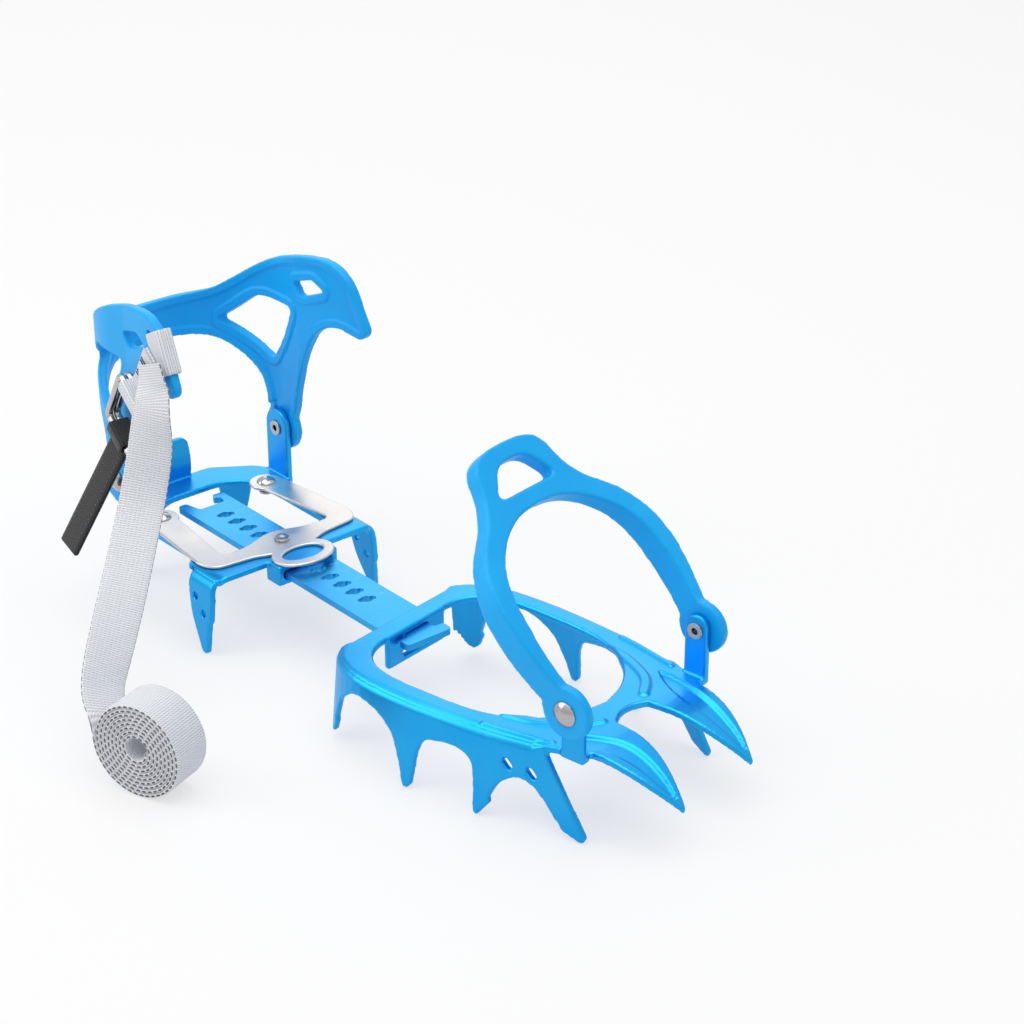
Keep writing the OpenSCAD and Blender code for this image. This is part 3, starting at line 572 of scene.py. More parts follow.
def averaged_normals(mesh: Mesh, passes: int) -> Array:
    """The mesh's point normals, averaged with their neighbours'.

    Args:
        mesh: The mesh.
        passes: How often they are averaged.

    Returns:
        One unit normal for each point.
    """
    ends = np.zeros(2 * len(mesh.edges), int)
    mesh.edges.foreach_get("vertices", ends)
    a, b = ends[0::2], ends[1::2]
    normals = normals_of(mesh)
    for _ in range(passes):
        total = normals.copy()
        for k in range(3):
            total[:, k] += np.bincount(a, normals[b, k], len(normals))
            total[:, k] += np.bincount(b, normals[a, k], len(normals))
        normals = total / np.maximum(np.linalg.norm(total, axis=1), 1e-9)[:, None]
    return normals


def in_axes(points: Array, axes: Matrix) -> Array:
    """Points of the part's frame seen in other axes, in millimetres."""
    back = np.array(axes.inverted())
    return points @ back[:3, :3].T + back[:3, 3]


def out_of_axes(points: Array, axes: Matrix) -> Array:
    """Points of other axes put into the part's frame, in millimetres."""
    there = np.array(axes)
    return points @ there[:3, :3].T + there[:3, 3]


def eased(share: Array) -> Array:
    """A share of 0 to 1 with soft ends."""
    return share * share * (3 - 2 * share)


def clean_mesh(node: Object, name: str, flat_angle: float = 0.0) -> Mesh:
    """Copies a CAD node's mesh with its points joined.

    Args:
        node: The CAD node's object.
        name: The new mesh's name.
        flat_angle: Angle in degrees up to which faces become one, or 0 to leave them.

    Returns:
        The mesh, without materials.
    """
    work = bmesh.new()
    work.from_mesh(node.data)
    bmesh.ops.remove_doubles(work, verts=work.verts, dist=1e-6)
    if flat_angle:
        bmesh.ops.dissolve_limit(work, angle_limit=math.radians(flat_angle), verts=work.verts,
                                 edges=work.edges)
    mesh = bpy.data.meshes.new(name)
    work.to_mesh(mesh)
    work.free()
    mesh.materials.clear()
    return mesh


@dataclass(frozen=True)
class Softening:
    """How a sharp CAD solid becomes a pressed or moulded piece."""

    voxel: float
    steps: int
    shape: Optional[Shaper] = None
    after: int = 0
    flat: bool = True
    between: int = 2
    passes: int = 3
    like_low: float = 0.8
    like_span: float = 0.12

    def copy_of(self, node: Object, name: str) -> Object:
        """Makes a softened copy of a CAD node.

        Args:
            node: The CAD node's object.
            name: The new piece's name.

        Returns:
            The new piece, a plain mesh.
        """
        mesh = clean_mesh(node, name)
        made = mesh_object(name, mesh)
        remesh = made.modifiers.new("soften", "REMESH")
        remesh.mode = "VOXEL"
        remesh.voxel_size = self.voxel * MM
        self.smoothed(made, self.steps)
        settled(made)
        if self.flat:
            self.flatten(made, mesh)
            self.smoothed(made, self.between)
            settled(made)
            self.flatten(made, mesh)
        if self.shape is not None:
            move_points(made.data, self.shape(points_of(made.data)))
            if self.after:
                self.smoothed(made, self.after)
                settled(made)
        return made

    def flatten(self, made: Object, sharp: Mesh) -> None:
        """Puts points that lie on a face of the sharp solid exactly on it, and leaves the edges round.

        Args:
            made: The softened copy.
            sharp: The solid's own mesh.
        """
        work = bmesh.new()
        work.from_mesh(sharp)
        tree = BVHTree.FromBMesh(work)
        work.free()
        mesh = made.data
        points = points_of(mesh) * MM
        found = [tree.find_nearest(place) for place in points]
        hits, faces = np.array([row[0] for row in found]), np.array([row[1] for row in found])
        like = (averaged_normals(mesh, self.passes) * faces).sum(1)
        share = np.clip((like - self.like_low) / self.like_span, 0, 1)
        points += (hits - points) * eased(share)[:, None]
        move_points(mesh, points / MM)

    @staticmethod
    def smoothed(made: Object, steps: int) -> None:
        """Adds a smoothing modifier.

        Args:
            made: The object.
            steps: How often it smooths.
        """
        smooth = made.modifiers.new("smooth", "SMOOTH")
        smooth.factor = 0.5
        smooth.iterations = steps


@dataclass(frozen=True)
class Edging:
    """How a flat CAD solid keeps its faces and gets rounded edges."""

    width: float
    segments: int = 3
    sharp_angle: float = 40.0
    flat_angle: float = 1.0

    def copy_of(self, node: Object, name: str) -> Object:
        """Makes a copy of a CAD node with rounded edges.

        Args:
            node: The CAD node's object.
            name: The new piece's name.

        Returns:
            The new piece, a plain mesh.
        """
        mesh = clean_mesh(node, name, self.flat_angle)
        mesh.shade_smooth()
        made = mesh_object(name, mesh)
        bevel = made.modifiers.new("round edges", "BEVEL")
        bevel.width = self.width * MM
        bevel.segments = self.segments
        bevel.limit_method = "ANGLE"
        bevel.angle_limit = math.radians(self.sharp_angle)
        made.modifiers.new("flat faces", "WEIGHTED_NORMAL")
        return settled(made)


def round_corner(a: Array, b: Array, r: float | Array, near: Array) -> tuple[Array, Array]:
    """Turns a square corner into a round one at every depth of the sheet.

    Args:
        a: Depth of each point below one face.
        b: Depth of each point below the other face.
        r: Outer radius of the bend.
        near: Which points may move.

    Returns:
        Both depths after the move.
    """
    u, v = r - a, r - b
    moved = near & (u > 0) & (v > 0) & (a > -1) & (b > -1)
    scale = np.where(moved, np.maximum(u, v) / np.maximum(np.hypot(u, v), 1e-6), 1)
    return r - u * scale, r - v * scale


def dress(piece: Object, material: Material, slot: Slot, body: Body, *nodes: str) -> Object:
    """Gives a piece its material and body.

    Args:
        piece: The finished piece.
        material: Its material.
        slot: The record's slot; not used.
        body: The body that it rides on.
        nodes: CAD nodes that it stands for.

    Returns:
        The piece.
    """
    piece.data.materials.clear()
    piece.data.materials.append(material)
    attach(piece, body.value)
    if nodes:
        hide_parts(*nodes)
    LOG.info("%s rides on %s", piece.name, body.value)
    return piece


def smooth_line(points: Sequence[Sequence[float]], steps: int) -> Array:
    """A smooth curve through the points, as the part's source draws it.

    Args:
        points: The points.
        steps: Steps between two points.

    Returns:
        The curve's points.
    """
    p = np.array(points, float)
    last = len(p) - 1
    made = []
    for i in range(last):
        a, b, c, d = p[max(i - 1, 0)], p[i], p[i + 1], p[min(i + 2, last)]
        for k in range(steps):
            t = k / steps
            made.append(0.5 * (2 * b + (c - a) * t + (2 * a - 5 * b + 4 * c - d) * t * t
                               + (3 * b - a - 3 * c + d) * t ** 3))
    made.append(p[last])
    return np.array(made)


def spaced(line: Array, step: float, *others: Array) -> list[Array]:
    """A line and what goes with it, again with points about step apart.

    Args:
        line: The line's points.
        step: Distance from point to point.
        others: Values at the same points.

    Returns:
        The line and the values at the new points.
    """
    along = np.concatenate([[0], np.cumsum(np.linalg.norm(np.diff(line, axis=0), axis=1))])
    at = np.linspace(0, along[-1], max(2, math.ceil(along[-1] / step) + 1))
    return [np.stack([np.interp(at, along, x[:, k]) for k in range(3)], axis=1)
            for x in (line, *others)]


@dataclass
class Band:
    """A strip of webbing swept along a line: ribbed, with rounded selvedges."""

    width: float
    thick: float
    rib: float = 1.1
    rib_depth: float = 0.07
    step: float = 0.37

    def section(self) -> Array:
        """The band's cross-section as shares of half its width and half its thickness.

        Returns:
            The points round the section.
        """
        top = [(-0.97, 0.72), (-0.9, 1), (-0.45, 1), (0, 1), (0.45, 1), (0.9, 1), (0.97, 0.72)]
        low = [(0.97, -0.72), (0.9, -1), (0.45, -1), (0, -1), (-0.45, -1), (-0.9, -1),
               (-0.97, -0.72)]
        return np.array([(-1, 0.0)] + top + [(1, 0.0)] + low)

    def mesh(self, name: str, line: Array, across: Array) -> Mesh:
        """Sweeps the band.

        Args:
            name: The mesh's name.
            line: Points down the middle, in millimetres in the part's frame.
            across: The way across the band at each point.

        Returns:
            The mesh, with a UV map in metres.
        """
        line, across = spaced(line, self.step, across)
        ahead = np.gradient(line, axis=0)
        ahead /= np.linalg.norm(ahead, axis=1)[:, None]
        across = across - ahead * (across * ahead).sum(1)[:, None]
        across /= np.linalg.norm(across, axis=1)[:, None]
        out = np.cross(ahead, across)
        far = np.concatenate([[0], np.cumsum(np.linalg.norm(np.diff(line, axis=0), axis=1))])
        form = self.section()
        swell = 1 - self.rib_depth * (1 + np.sin(2 * np.pi * far / self.rib))
        half = np.array([self.width / 2, self.thick / 2])
        rings = (line[:, None] + across[:, None] * form[None, :, :1] * half[0]
                 + out[:, None] * (form[None, :, 1:] * half[1]) * swell[:, None, None])
        count, sides = rings.shape[:2]
        faces = [(i * sides + k, i * sides + (k + 1) % sides, (i + 1) * sides + (k + 1) % sides,
                  (i + 1) * sides + k) for i in range(count - 1) for k in range(sides)]
        faces += [tuple(range(sides)), tuple((count - 1) * sides + k
                                             for k in reversed(range(sides)))]
        mesh = bpy.data.meshes.new(name)
        mesh.from_pydata((rings.reshape(-1, 3) * MM).tolist(), [], faces)
        mesh.validate()
        uv = mesh.uv_layers.new(name="band")
        index = np.zeros(len(mesh.loops), int)
        mesh.loops.foreach_get("vertex_index", index)
        flat = np.stack([far[index // sides], form[index % sides, 0] * half[0]], axis=1) * MM
        uv.data.foreach_set("uv", flat.astype(np.float32).ravel())
        work = bmesh.new()
        work.from_mesh(mesh)
        bmesh.ops.recalc_face_normals(work, faces=work.faces)
        work.to_mesh(mesh)
        work.free()
        mesh.shade_smooth()
        return mesh


def rounded_path(corners: Sequence[Sequence[float]], reach: float, closed: bool = False) -> Array:
    """A path of straight runs with rounded corners.

    Args:
        corners: The corners.
        reach: How far a round reaches from its corner.
        closed: Whether the path comes back to its start.

    Returns:
        The path's points.
    """
    p = np.array(corners, float)
    count = len(p)
    made = [] if closed else [p[0]]
    for i in range(count if closed else count - 2):
        a, b, c = (p[i - 1], p[i], p[(i + 1) % count]) if closed else (p[i], p[i + 1], p[i + 2])
        r = min(reach, 0.49 * np.linalg.norm(a - b), 0.49 * np.linalg.norm(c - b))
        s, e = b + (a - b) / np.linalg.norm(a - b) * r, b + (c - b) / np.linalg.norm(c - b) * r
        made += [(1 - t) ** 2 * s + 2 * t * (1 - t) * b + t * t * e for t in np.linspace(0, 1, 7)]
    made.append(made[0] if closed else p[-1])
    return np.array(made)


class Repeats:
    """The Geometry Nodes tree for what repeats along a line: stitches and size marks."""

    def __init__(self) -> None:
        """Builds the stitch tree once."""
        tree = bpy.data.node_groups.new("stitch row", "GeometryNodeTree")
        face = tree.interface
        face.new_socket("Line", in_out="INPUT", socket_type="NodeSocketGeometry")
        sockets = {"Pitch": "NodeSocketFloat", "Thread Length": "NodeSocketFloat",
                   "Thread Thickness": "NodeSocketFloat", "Thread": "NodeSocketMaterial"}
        self.ids = {name: face.new_socket(name, in_out="INPUT", socket_type=kind).identifier
                    for name, kind in sockets.items()}
        face.new_socket("Stitches", in_out="OUTPUT", socket_type="NodeSocketGeometry")
        graph = Graph(tree)
        given = graph.add("NodeGroupInput").outputs
        curve = graph.add("GeometryNodeMeshToCurve")
        graph.link(given["Line"], curve.inputs[0])
        resample = graph.add("GeometryNodeResampleCurve", mode="LENGTH")
        graph.link(curve.outputs[0], resample.inputs["Curve"])
        graph.link(given["Pitch"], resample.inputs["Length"])
        ball = graph.add("GeometryNodeMeshUVSphere", Segments=8, Rings=6, Radius=0.5)
        size = graph.add("ShaderNodeCombineXYZ")
        graph.link(given["Thread Length"], size.inputs[0])
        graph.link(given["Thread Thickness"], size.inputs[1])
        graph.link(given["Thread Thickness"], size.inputs[2])
        turn = graph.add("FunctionNodeAlignRotationToVector", axis="X")
        graph.link(graph.add("GeometryNodeInputTangent").outputs[0], turn.inputs["Vector"])
        place = graph.add("GeometryNodeInstanceOnPoints")
        graph.link(resample.outputs[0], place.inputs["Points"])
        graph.link(ball.outputs["Mesh"], place.inputs["Instance"])
        graph.link(turn.outputs[0], place.inputs["Rotation"])
        graph.link(size.outputs[0], place.inputs["Scale"])
        whole = graph.add("GeometryNodeRealizeInstances")
        graph.link(place.outputs[0], whole.inputs[0])
        dressed = graph.add("GeometryNodeSetMaterial")
        graph.link(whole.outputs[0], dressed.inputs["Geometry"])
        graph.link(given["Thread"], dressed.inputs["Material"])
        graph.link(dressed.outputs[0], graph.add("NodeGroupOutput").inputs[0])
        self.tree = tree

    def stitches(self, name: str, lines: Sequence[Array], pitch: float, long: float,
                 thick: float, material: Material) -> Object:
        """Sews rows of stitches.

        Args:
            name: The piece's name.
            lines: The rows, in millimetres in the part's frame.
            pitch: Distance from stitch to stitch.
            long: Length of a stitch.
            thick: Thickness of the thread.
            material: The thread's material.

        Returns:
            The stitches as one plain mesh.
        """
        points, edges = [], []
        for line in lines:
            start = len(points)
            points += (np.array(line) * MM).tolist()
            edges += [(start + i, start + i + 1) for i in range(len(line) - 1)]
        mesh = bpy.data.meshes.new(name)
        mesh.from_pydata(points, edges, [])
        made = mesh_object(name, mesh)
        row = made.modifiers.new("stitches", "NODES")
        row.node_group = self.tree
        row[self.ids["Pitch"]] = pitch * MM
        row[self.ids["Thread Length"]] = long * MM
        row[self.ids["Thread Thickness"]] = thick * MM
        row[self.ids["Thread"]] = material
        return settled(made)


@dataclass
class Strap:
    """The long strap: its free run from the wing to the floor, and the roll at its end."""

    width: float = 20.0
    thick: float = 1.4
    wound_thick: float = 1.84
    turns: float = 8.5
    pitch: float = 1.9
    hole_r: float = 4.4
    roll_turn: float = 10.0
    roll_centre: Place = (-18.8, -131.8, 22.05)
    steps: int = 16
    blend_from: int = 128
    blend_to: int = 6
    route: tuple[Place, ...] = (
        (-97.216, -48.747, 139.0), (-94.201, -50.891, 130.5), (-90.738, -55.046, 121.0),
        (-90.3, -57.8, 104.0), (-88.3, -65.8, 84.0),
        (-79.8, -80.8, 69.0), (-69.8, -96.8, 57.0), (-59.8, -112.8, 46.0),
        (-49.8, -127.8, 36.0), (-40.327, -135.79, 28.05), (-39.727, -135.49, 22.05))
    across: tuple[Place, ...] = (
        (0.9588, -0.284, 0), (0.99, -0.15, 0), (0.99, 0.11, 0), (0.88, 0.47, 0), (0.77, 0.64, 0),
        (0.67, 0.74, 0), (0.48, 0.88, 0),
        (0.20, 0.98, 0), (-0.08, 1, 0), (-0.1736, 0.9848, 0), (-0.1736, 0.9848, 0))

    def roll_line(self) -> tuple[Array, Array]:
        """The roll's middle line from the outside in, and the way across it.

        Returns:
            The points and the ways across, in the part's frame.
        """
        a = np.radians(np.arange(0, 360 * self.turns + 1, 3.0))[::-1]
        r = self.hole_r + self.thick / 2 + self.pitch * a / (2 * np.pi)
        angle = math.pi + 2 * math.pi * self.turns - a
        flat = np.stack([r * np.cos(angle), 0 * a, r * np.sin(angle)], axis=1)
        turn = Matrix.Rotation(math.radians(self.roll_turn), 3, "Z")
        line = flat @ np.array(turn).T + np.array(self.roll_centre)
        way = np.array(turn @ Vector((0, 1, 0)))
        return line, np.tile(way, (len(line), 1))

    def build(self, webbing: Material, face: Material) -> None:
        """Args:
            webbing: The webbing's material.
            face: The material of the roll, whose edges show.
        """
        line, way = smooth_line(self.route, self.steps), smooth_line(self.across, self.steps)
        run = mesh_object("strap_run", Band(self.width, self.thick).mesh("strap_run", line, way))
        run.data.materials.append(webbing)
        wound, ways = self.roll_line()
        tight = Band(self.width, self.wound_thick, rib_depth=0.015)
        roll = mesh_object("strap_coil", tight.mesh("strap_coil", wound, ways))
        dress(roll, face, Slot.WEBBING, Body.HEEL, "strap_roll")
        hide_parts("strap_tail")
        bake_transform(run)


@dataclass(frozen=True)
class Pressing:
    """A rib or groove pressed into the sheet along a line, seen from above."""

    way: Flat
    half_w: float
    tall: float
    lens: bool
    taper: float = 0.7
    least_w: float = 0.2
    wall: float = 0.42

    def lift(self, x: Array, side: Array) -> Array:
        """How far the sheet is pressed up at each place.

        Args:
            x: Places along the frame.
            side: Distances from its middle.

        Returns:
            The lift, negative where it is pressed down.
        """
        line = smooth_line([(a, b, 0) for a, b in self.way], 8)
        flat = np.stack([x, side], axis=1)
        far = np.full(len(x), np.inf)
        share = np.zeros(len(x))
        for i in range(len(line) - 1):
            a, d = line[i, :2], line[i + 1, :2] - line[i, :2]
            t = np.clip(((flat - a) @ d) / (d @ d), 0, 1)
            gap = np.linalg.norm(flat - a - t[:, None] * d, axis=1)
            share = np.where(gap < far, (i + t) / (len(line) - 1), share)
            far = np.minimum(far, gap)
        narrowed = np.sin(np.pi * np.clip(share, 0.02, 0.98)) ** self.taper if self.lens else 1
        wide = self.half_w * narrowed
        inside = np.clip(1 - far / np.maximum(wide, self.least_w), 0, 1)
        return self.tall * eased(np.clip(inside / self.wall, 0, 1))


@dataclass
class FrontSection:
    """The front frame, pressed from sheet."""

    sole_z: float = 38.0
    bend_r: float = 4.5
    flare: float = 0.11
    grooves: tuple[Pressing, ...] = (
        Pressing(((88, 32.5), (104, 26.8), (118, 24.2), (137, 23.6)), half_w=5.6, tall=-1.5, lens=True),
        Pressing(((60, 34.5), (72, 31.5), (86, 24.0), (93, 14.0)), half_w=2.6, tall=1.0, lens=False),
        Pressing(((58, 45.2), (70, 43.2), (88, 39.4)), half_w=1.7, tall=0.9, lens=False))
    bend_x: tuple[float, float] = (-30.0, 88.0)
    fade_long: tuple[float, float] = (4.0, 6.0)
    pressed_z: float = 16.0
    rail: Flat = (
        (-29, 35), (-25, 42.5), (-9, 50), (15, 52), (40, 51), (65, 48.5), (86, 44), (114, 38))

    def bend(self, points: Array) -> Array:
        """Rounds the outer bend of both side rails.

        Args:
            points: Points of the frame in the part's frame.

        Returns:
            The same points, moved.
        """
        p = in_axes(points, AXES.placed())
        path = smooth_line([(x, y, 0) for x, y in self.rail], 4)
        edge = np.interp(p[:, 0], path[:, 0], path[:, 1])
        slope = np.interp(p[:, 0], path[:, 0], np.gradient(path[:, 1], path[:, 0]))
        lean = 1 + self.flare * (self.sole_z - p[:, 2]) / self.sole_z
        cosine = 1 / np.sqrt(1 + slope ** 2)
        a = (edge * lean - np.abs(p[:, 1])) * cosine
        b = self.sole_z - p[:, 2]
        rear, front = self.bend_x
        rear_long, front_long = self.fade_long
        fade = (np.clip((front - p[:, 0]) / front_long, 0, 1)
                * np.clip((p[:, 0] - rear) / rear_long, 0, 1))
        r = np.maximum(self.bend_r * fade, 0.01)
        new_a, new_b = round_corner(a, b, r, fade > 0)
        sign = np.where(p[:, 1] < 0, -1, 1)
        p[:, 1] = sign * (edge * lean - new_a / cosine)
        p[:, 2] = self.sole_z - new_b
        return out_of_axes(self.press(p), AXES.placed())

    def press(self, p: Array) -> Array:
        """Presses the grooves, ribs and beads into the sheet.

        Args:
            p: Points in the front section's own axes.

        Returns:
            The same points, moved.
        """
        side = np.abs(p[:, 1])
        sheet = (p[:, 2] > self.pressed_z) & (p[:, 2] < self.sole_z + 0.6)
        for groove in self.grooves:
            p[:, 2] += np.where(sheet, groove.lift(p[:, 0], side), 0)
        return p

    def build(self, nodes: dict, metal: Material) -> None:
        """Makes the frame.

        Args:
            nodes: The CAD nodes.
            metal: The frame's material.
        """
        soft = Softening(voxel=0.585, steps=12, shape=self.bend, after=1)
        piece = soft.copy_of(nodes["front_frame"], "front_plate")
        dress(piece, metal, Slot.FRAME, Body.FRONT, "front_frame")


@dataclass
class HeelSection:
    """The heel frame, the linking bar and the spring latch."""

    latch_axis_m: Place = (-0.13112, 0.01626, 0.03875)
    sole_z: float = 38.0
    half: float = 45.5
    lean: float = 5.0
    bend_r: float = 8.0
    spike_x: tuple[float, float] = (-126.0, -103.0)
    blend_reach: tuple[float, float] = (6.0, 42.0)

    def bend(self, points: Array) -> Array:
        """Rounds the bend over the two front spikes.

        Args:
            points: Points of the frame in the part's frame.

        Returns:
            The same points, moved.
        """
        p = in_axes(points, AXES.along_bar())
        b = self.sole_z - p[:, 2]
        edge = self.half + np.maximum(b, 0) * math.tan(math.radians(self.lean))
        a = edge - np.abs(p[:, 1])
        near = (p[:, 0] > self.spike_x[0]) & (p[:, 0] < self.spike_x[1])
        new_a, new_b = round_corner(a, b, self.bend_r, near)
        sign = np.where(p[:, 1] < 0, -1, 1)
        p[:, 1] = sign * (edge - new_a)
        p[:, 2] = self.sole_z - new_b
        return out_of_axes(p, AXES.along_bar())

    def build(self, nodes: dict, metal: Material, bar: Material, steel: Material) -> None:
        """Makes the three pieces.

        Args:
            nodes: The CAD nodes.
            metal: The frame's material.
            bar: The bar's material.
            steel: The latch's material.
        """
        soft = Softening(voxel=0.47, steps=12, shape=self.bend, after=1)
        frame = soft.copy_of(nodes["heel_frame"], "heel_plate")
        dress(frame, metal, Slot.FRAME, Body.HEEL, "heel_frame")
        link = Edging(width=0.35).copy_of(nodes["linking_bar"], "holed_bar")
        dress(link, bar, Slot.BAR, Body.BAR, "linking_bar")
        spring = Softening(voxel=0.33, steps=8).copy_of(nodes["latch_spring"], "latch_plate")
        spring.data.materials.clear()
        spring.data.materials.append(steel)
        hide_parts("latch_spring")
        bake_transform(spring)
        LOG.info("%s bends from %s to %s", spring.name, Body.HEEL.value, Body.LATCH.value)


@dataclass
class PlasticParts:
    """The toe bail and the heel cradle."""

    rim: float = 3.4
    slope: float = 1.1
    depth: float = 1.0
    wing_half: float = 36.0
    edge_share: float = 0.55

    def recess(self, cradle: Object) -> None:
        """Sinks the inner panels of the cradle and leaves a raised rim round every edge.

        Args:
            cradle: The softened cradle.
        """
        mesh = cradle.data
        points = points_of(mesh)
        normals = normals_of(mesh)
        turn = np.array(AXES.along_bar())[:3, :3]
        p, n = in_axes(points, AXES.along_bar()), normals @ turn
        wing = np.abs(p[:, 1]) > self.wing_half
        rim = np.where(wing, np.abs(n[:, 1]) < self.edge_share, np.abs(n[:, 2]) > self.edge_share)
        tree = KDTree(int(rim.sum()))
        for i, place in enumerate(points[rim]):
            tree.insert(place, i)
        tree.balance()
        to_middle = np.array([AXES.wing_x, 0.0]) - p[:, :2]
        to_middle[:, 0] = np.where(wing, 0, to_middle[:, 0])
        inner = ~rim & ((to_middle * n[:, :2]).sum(1) > 0)
        far = np.zeros(len(points))
        far[inner] = [tree.find(place)[2] for place in points[inner]]
        share = np.clip((far - self.rim) / self.slope, 0, 1)
        move_points(mesh, points - normals * (self.depth * eased(share))[:, None])

    def build(self, nodes: dict, plastic: Material) -> None:
        """Makes both pieces.

        Args:
            nodes: The CAD nodes.
            plastic: Their material.
        """
        round_all = Softening(voxel=0.6, steps=24, flat=False)
        bail = round_all.copy_of(nodes["toe_bail"], "toe_bail_moulding")
        dress(bail, plastic, Slot.PLASTIC, Body.BAIL, "toe_bail")
        round_edges = Softening(voxel=0.6, steps=5)
        cradle = round_edges.copy_of(nodes["heel_cradle"], "heel_cradle_moulding")
        self.recess(cradle)
        dress(cradle, plastic, Slot.PLASTIC, Body.CRADLE, "heel_cradle")


@dataclass
class Fasteners:
    """Rivets, the latch pin and the buckle rings."""

    bodies: dict[str, Body] = field(default_factory=lambda: {
        "toe_rivet_left": Body.FRONT, "toe_rivet_right": Body.FRONT,
        "cradle_rivet_left": Body.HEEL, "cradle_rivet_right": Body.HEEL,
        "latch_rivet_left": Body.HEEL, "latch_rivet_right": Body.HEEL, "latch_pin": Body.LATCH})

    def build(self, nodes: dict, steel: Material, ring: Material) -> None:
        """Makes each fastener and ring.

        Args:
            nodes: The CAD nodes.
            steel: The rivets' material.
            ring: The rings' material.
        """
        for name, body in self.bodies.items():
            piece = Softening(voxel=0.2, steps=3).copy_of(nodes[name], f"{name}_turned")
            dress(piece, steel, Slot.RIVET, body, name)
        for name in ("buckle_ring_outer", "buckle_ring_inner"):
            piece = Softening(voxel=0.3, steps=3).copy_of(nodes[name], f"{name}_wire")
            dress(piece, ring, Slot.RING, Body.CRADLE, name)


@dataclass
class Buckle:
    """The sewn loop, the folded keeper and the black pull tail."""

    loop_w: float = 20.0
    keeper_w: float = 16.0
    tail_w: float = 14.0
    tape: float = 1.3
    ring_y: float = -53.85
    tail_long: float = 58.0
    tail_turn: float = -22.0
    tail_hang: float = 26.0
    ring_reach: float = 29.4
    tack_x: tuple[float, ...] = (9.0, 10.8, 17.6, 19.4)
    tack_y: float = -52.75
    tack_half: float = 6.5
    tail_from_sleeve: float = -2.3
    tail_top: float = 0.6
    tail_half: float = 0.68
    row_y: tuple[float, float] = (-1.35, 1.35)
    row_z: tuple[float, float] = (-5.2, 5.2)
    loop: Flat = ((0, -42.7), (12.1, -42.7), (12.1, -49.1), (0, -49.1))
    fold: Flat = ((24.1, -50.5), (5.4, -50.5), (2.8, -49.2), (-2.8, -49.2), (-2.8, -58.5),
                  (2.8, -58.5), (2.8, -53.2), (5.6, -51.9), (24.1, -51.9))
    sleeve: Flat = ((-2.8, -4.65), (2.8, -4.65), (2.8, 4.65), (-2.8, 4.65))

    def band(self, name: str, path: Array, axes: Matrix, wide: float, material: Material) -> Object:
        """Sweeps tape along a path in x and y of some axes.

        Args:
            name: The piece's name.
            path: The path's points in x and y.
            axes: The axes.
            wide: Width of the tape.
            material: Its material.

        Returns:
            The piece.
        """
        line = out_of_axes(np.column_stack([path, np.zeros(len(path))]), axes)
        way = np.tile(np.array(axes)[:3, 2], (len(line), 1))
        made = mesh_object(name, Band(wide, self.tape).mesh(name, line, way))
        made.data.materials.append(material)
        return made

    def build(self, repeats: Repeats, webbing: Material, tape: Material,
              thread: Material, grey: Material) -> None:
        """Makes the loop, the keeper, the tail with its sleeve, and their stitches.

        Args:
            repeats: The stitch maker.
            webbing: Material of the grey webbing.
            tape: Material of the black tape.
            thread: Black thread.
            grey: Grey thread.
        """
        limb, buckle = AXES.tilted(AXES.limb), AXES.tilted(AXES.buckle)
        round_loop = rounded_path(self.loop, reach=1.6, closed=True)
        loop = self.band("sewn_loop", round_loop, limb, self.loop_w, webbing)
        dress(loop, webbing, Slot.WEBBING, Body.CRADLE, "strap_loop")
        round_fold = rounded_path(self.fold, reach=1.4)
        keeper = self.band("folded_keeper", round_fold, buckle, self.keeper_w, webbing)
        dress(keeper, webbing, Slot.WEBBING, Body.CRADLE, "ring_keeper")
        tack_z = np.linspace(-self.tack_half, self.tack_half, 9)
        bars = [out_of_axes(np.array([(x, self.tack_y, z) for z in tack_z]), buckle)
                for x in self.tack_x]
        tack = repeats.stitches("bar_tacks", bars, pitch=1.0, long=1.25, thick=0.55, material=thread)
        dress(tack, thread, Slot.TAPE, Body.CRADLE)
        sleeve_at = buckle @ Matrix.Translation((-self.ring_reach, self.ring_y, 0))
        hang = (sleeve_at @ Matrix.Translation((self.tail_from_sleeve, 0, 0))
                @ Matrix.Rotation(math.radians(self.tail_turn), 4, "Y")
                @ Matrix.Rotation(math.radians(self.tail_hang), 4, "Z"))
        end, top, half = -self.tail_long, self.tail_top, self.tail_half
        flat = rounded_path([(top, half), (end, half), (end, -half), (top, -half)], reach=0.6)
        tail = self.band("black_pull_tail", flat, hang, self.tail_w, tape)
        round_sleeve = rounded_path(self.sleeve, reach=1.6, closed=True)
        sleeve = self.band("tape_round_wires", round_sleeve, sleeve_at, self.tail_w, tape)
        dress(tail, tape, Slot.TAPE, Body.CRADLE, "pull_tail")
        dress(sleeve, tape, Slot.TAPE, Body.CRADLE)
        rows = [out_of_axes(np.array([(x, y, z) for x in np.linspace(-5, end + 3, 30)]), hang)
                for y in self.row_y for z in self.row_z]
        sewn = repeats.stitches("tail_stitches", rows, pitch=2.4, long=1.9, thick=0.42, material=grey)
        dress(sewn, grey, Slot.TAPE, Body.CRADLE)


@dataclass
class BarMarks:
    """Small pale size marks beside the bar's holes."""

    pin_x: float = -116.0
    pitch: float = 9.0
    behind: int = 5
    count: int = 13
    top_z: float = 34.7
    across: tuple[float, float] = (7.6, 10.2)

    def build(self, repeats: Repeats, pale: Material) -> None:
        """Makes the marks.

        Args:
            repeats: The maker of repeated pieces.
            pale: The marks' material.
        """
        along = AXES.along_bar()
        rows = []
        for i in range(self.count):
            x = self.pin_x + (i - self.behind) * self.pitch
            rows.append(out_of_axes(np.array([(x, y, self.top_z) for y in self.across]), along))
        marks = repeats.stitches("bar_marks", rows, pitch=1.3, long=1.5, thick=0.12, material=pale)
        dress(marks, pale, Slot.BAR, Body.BAR)


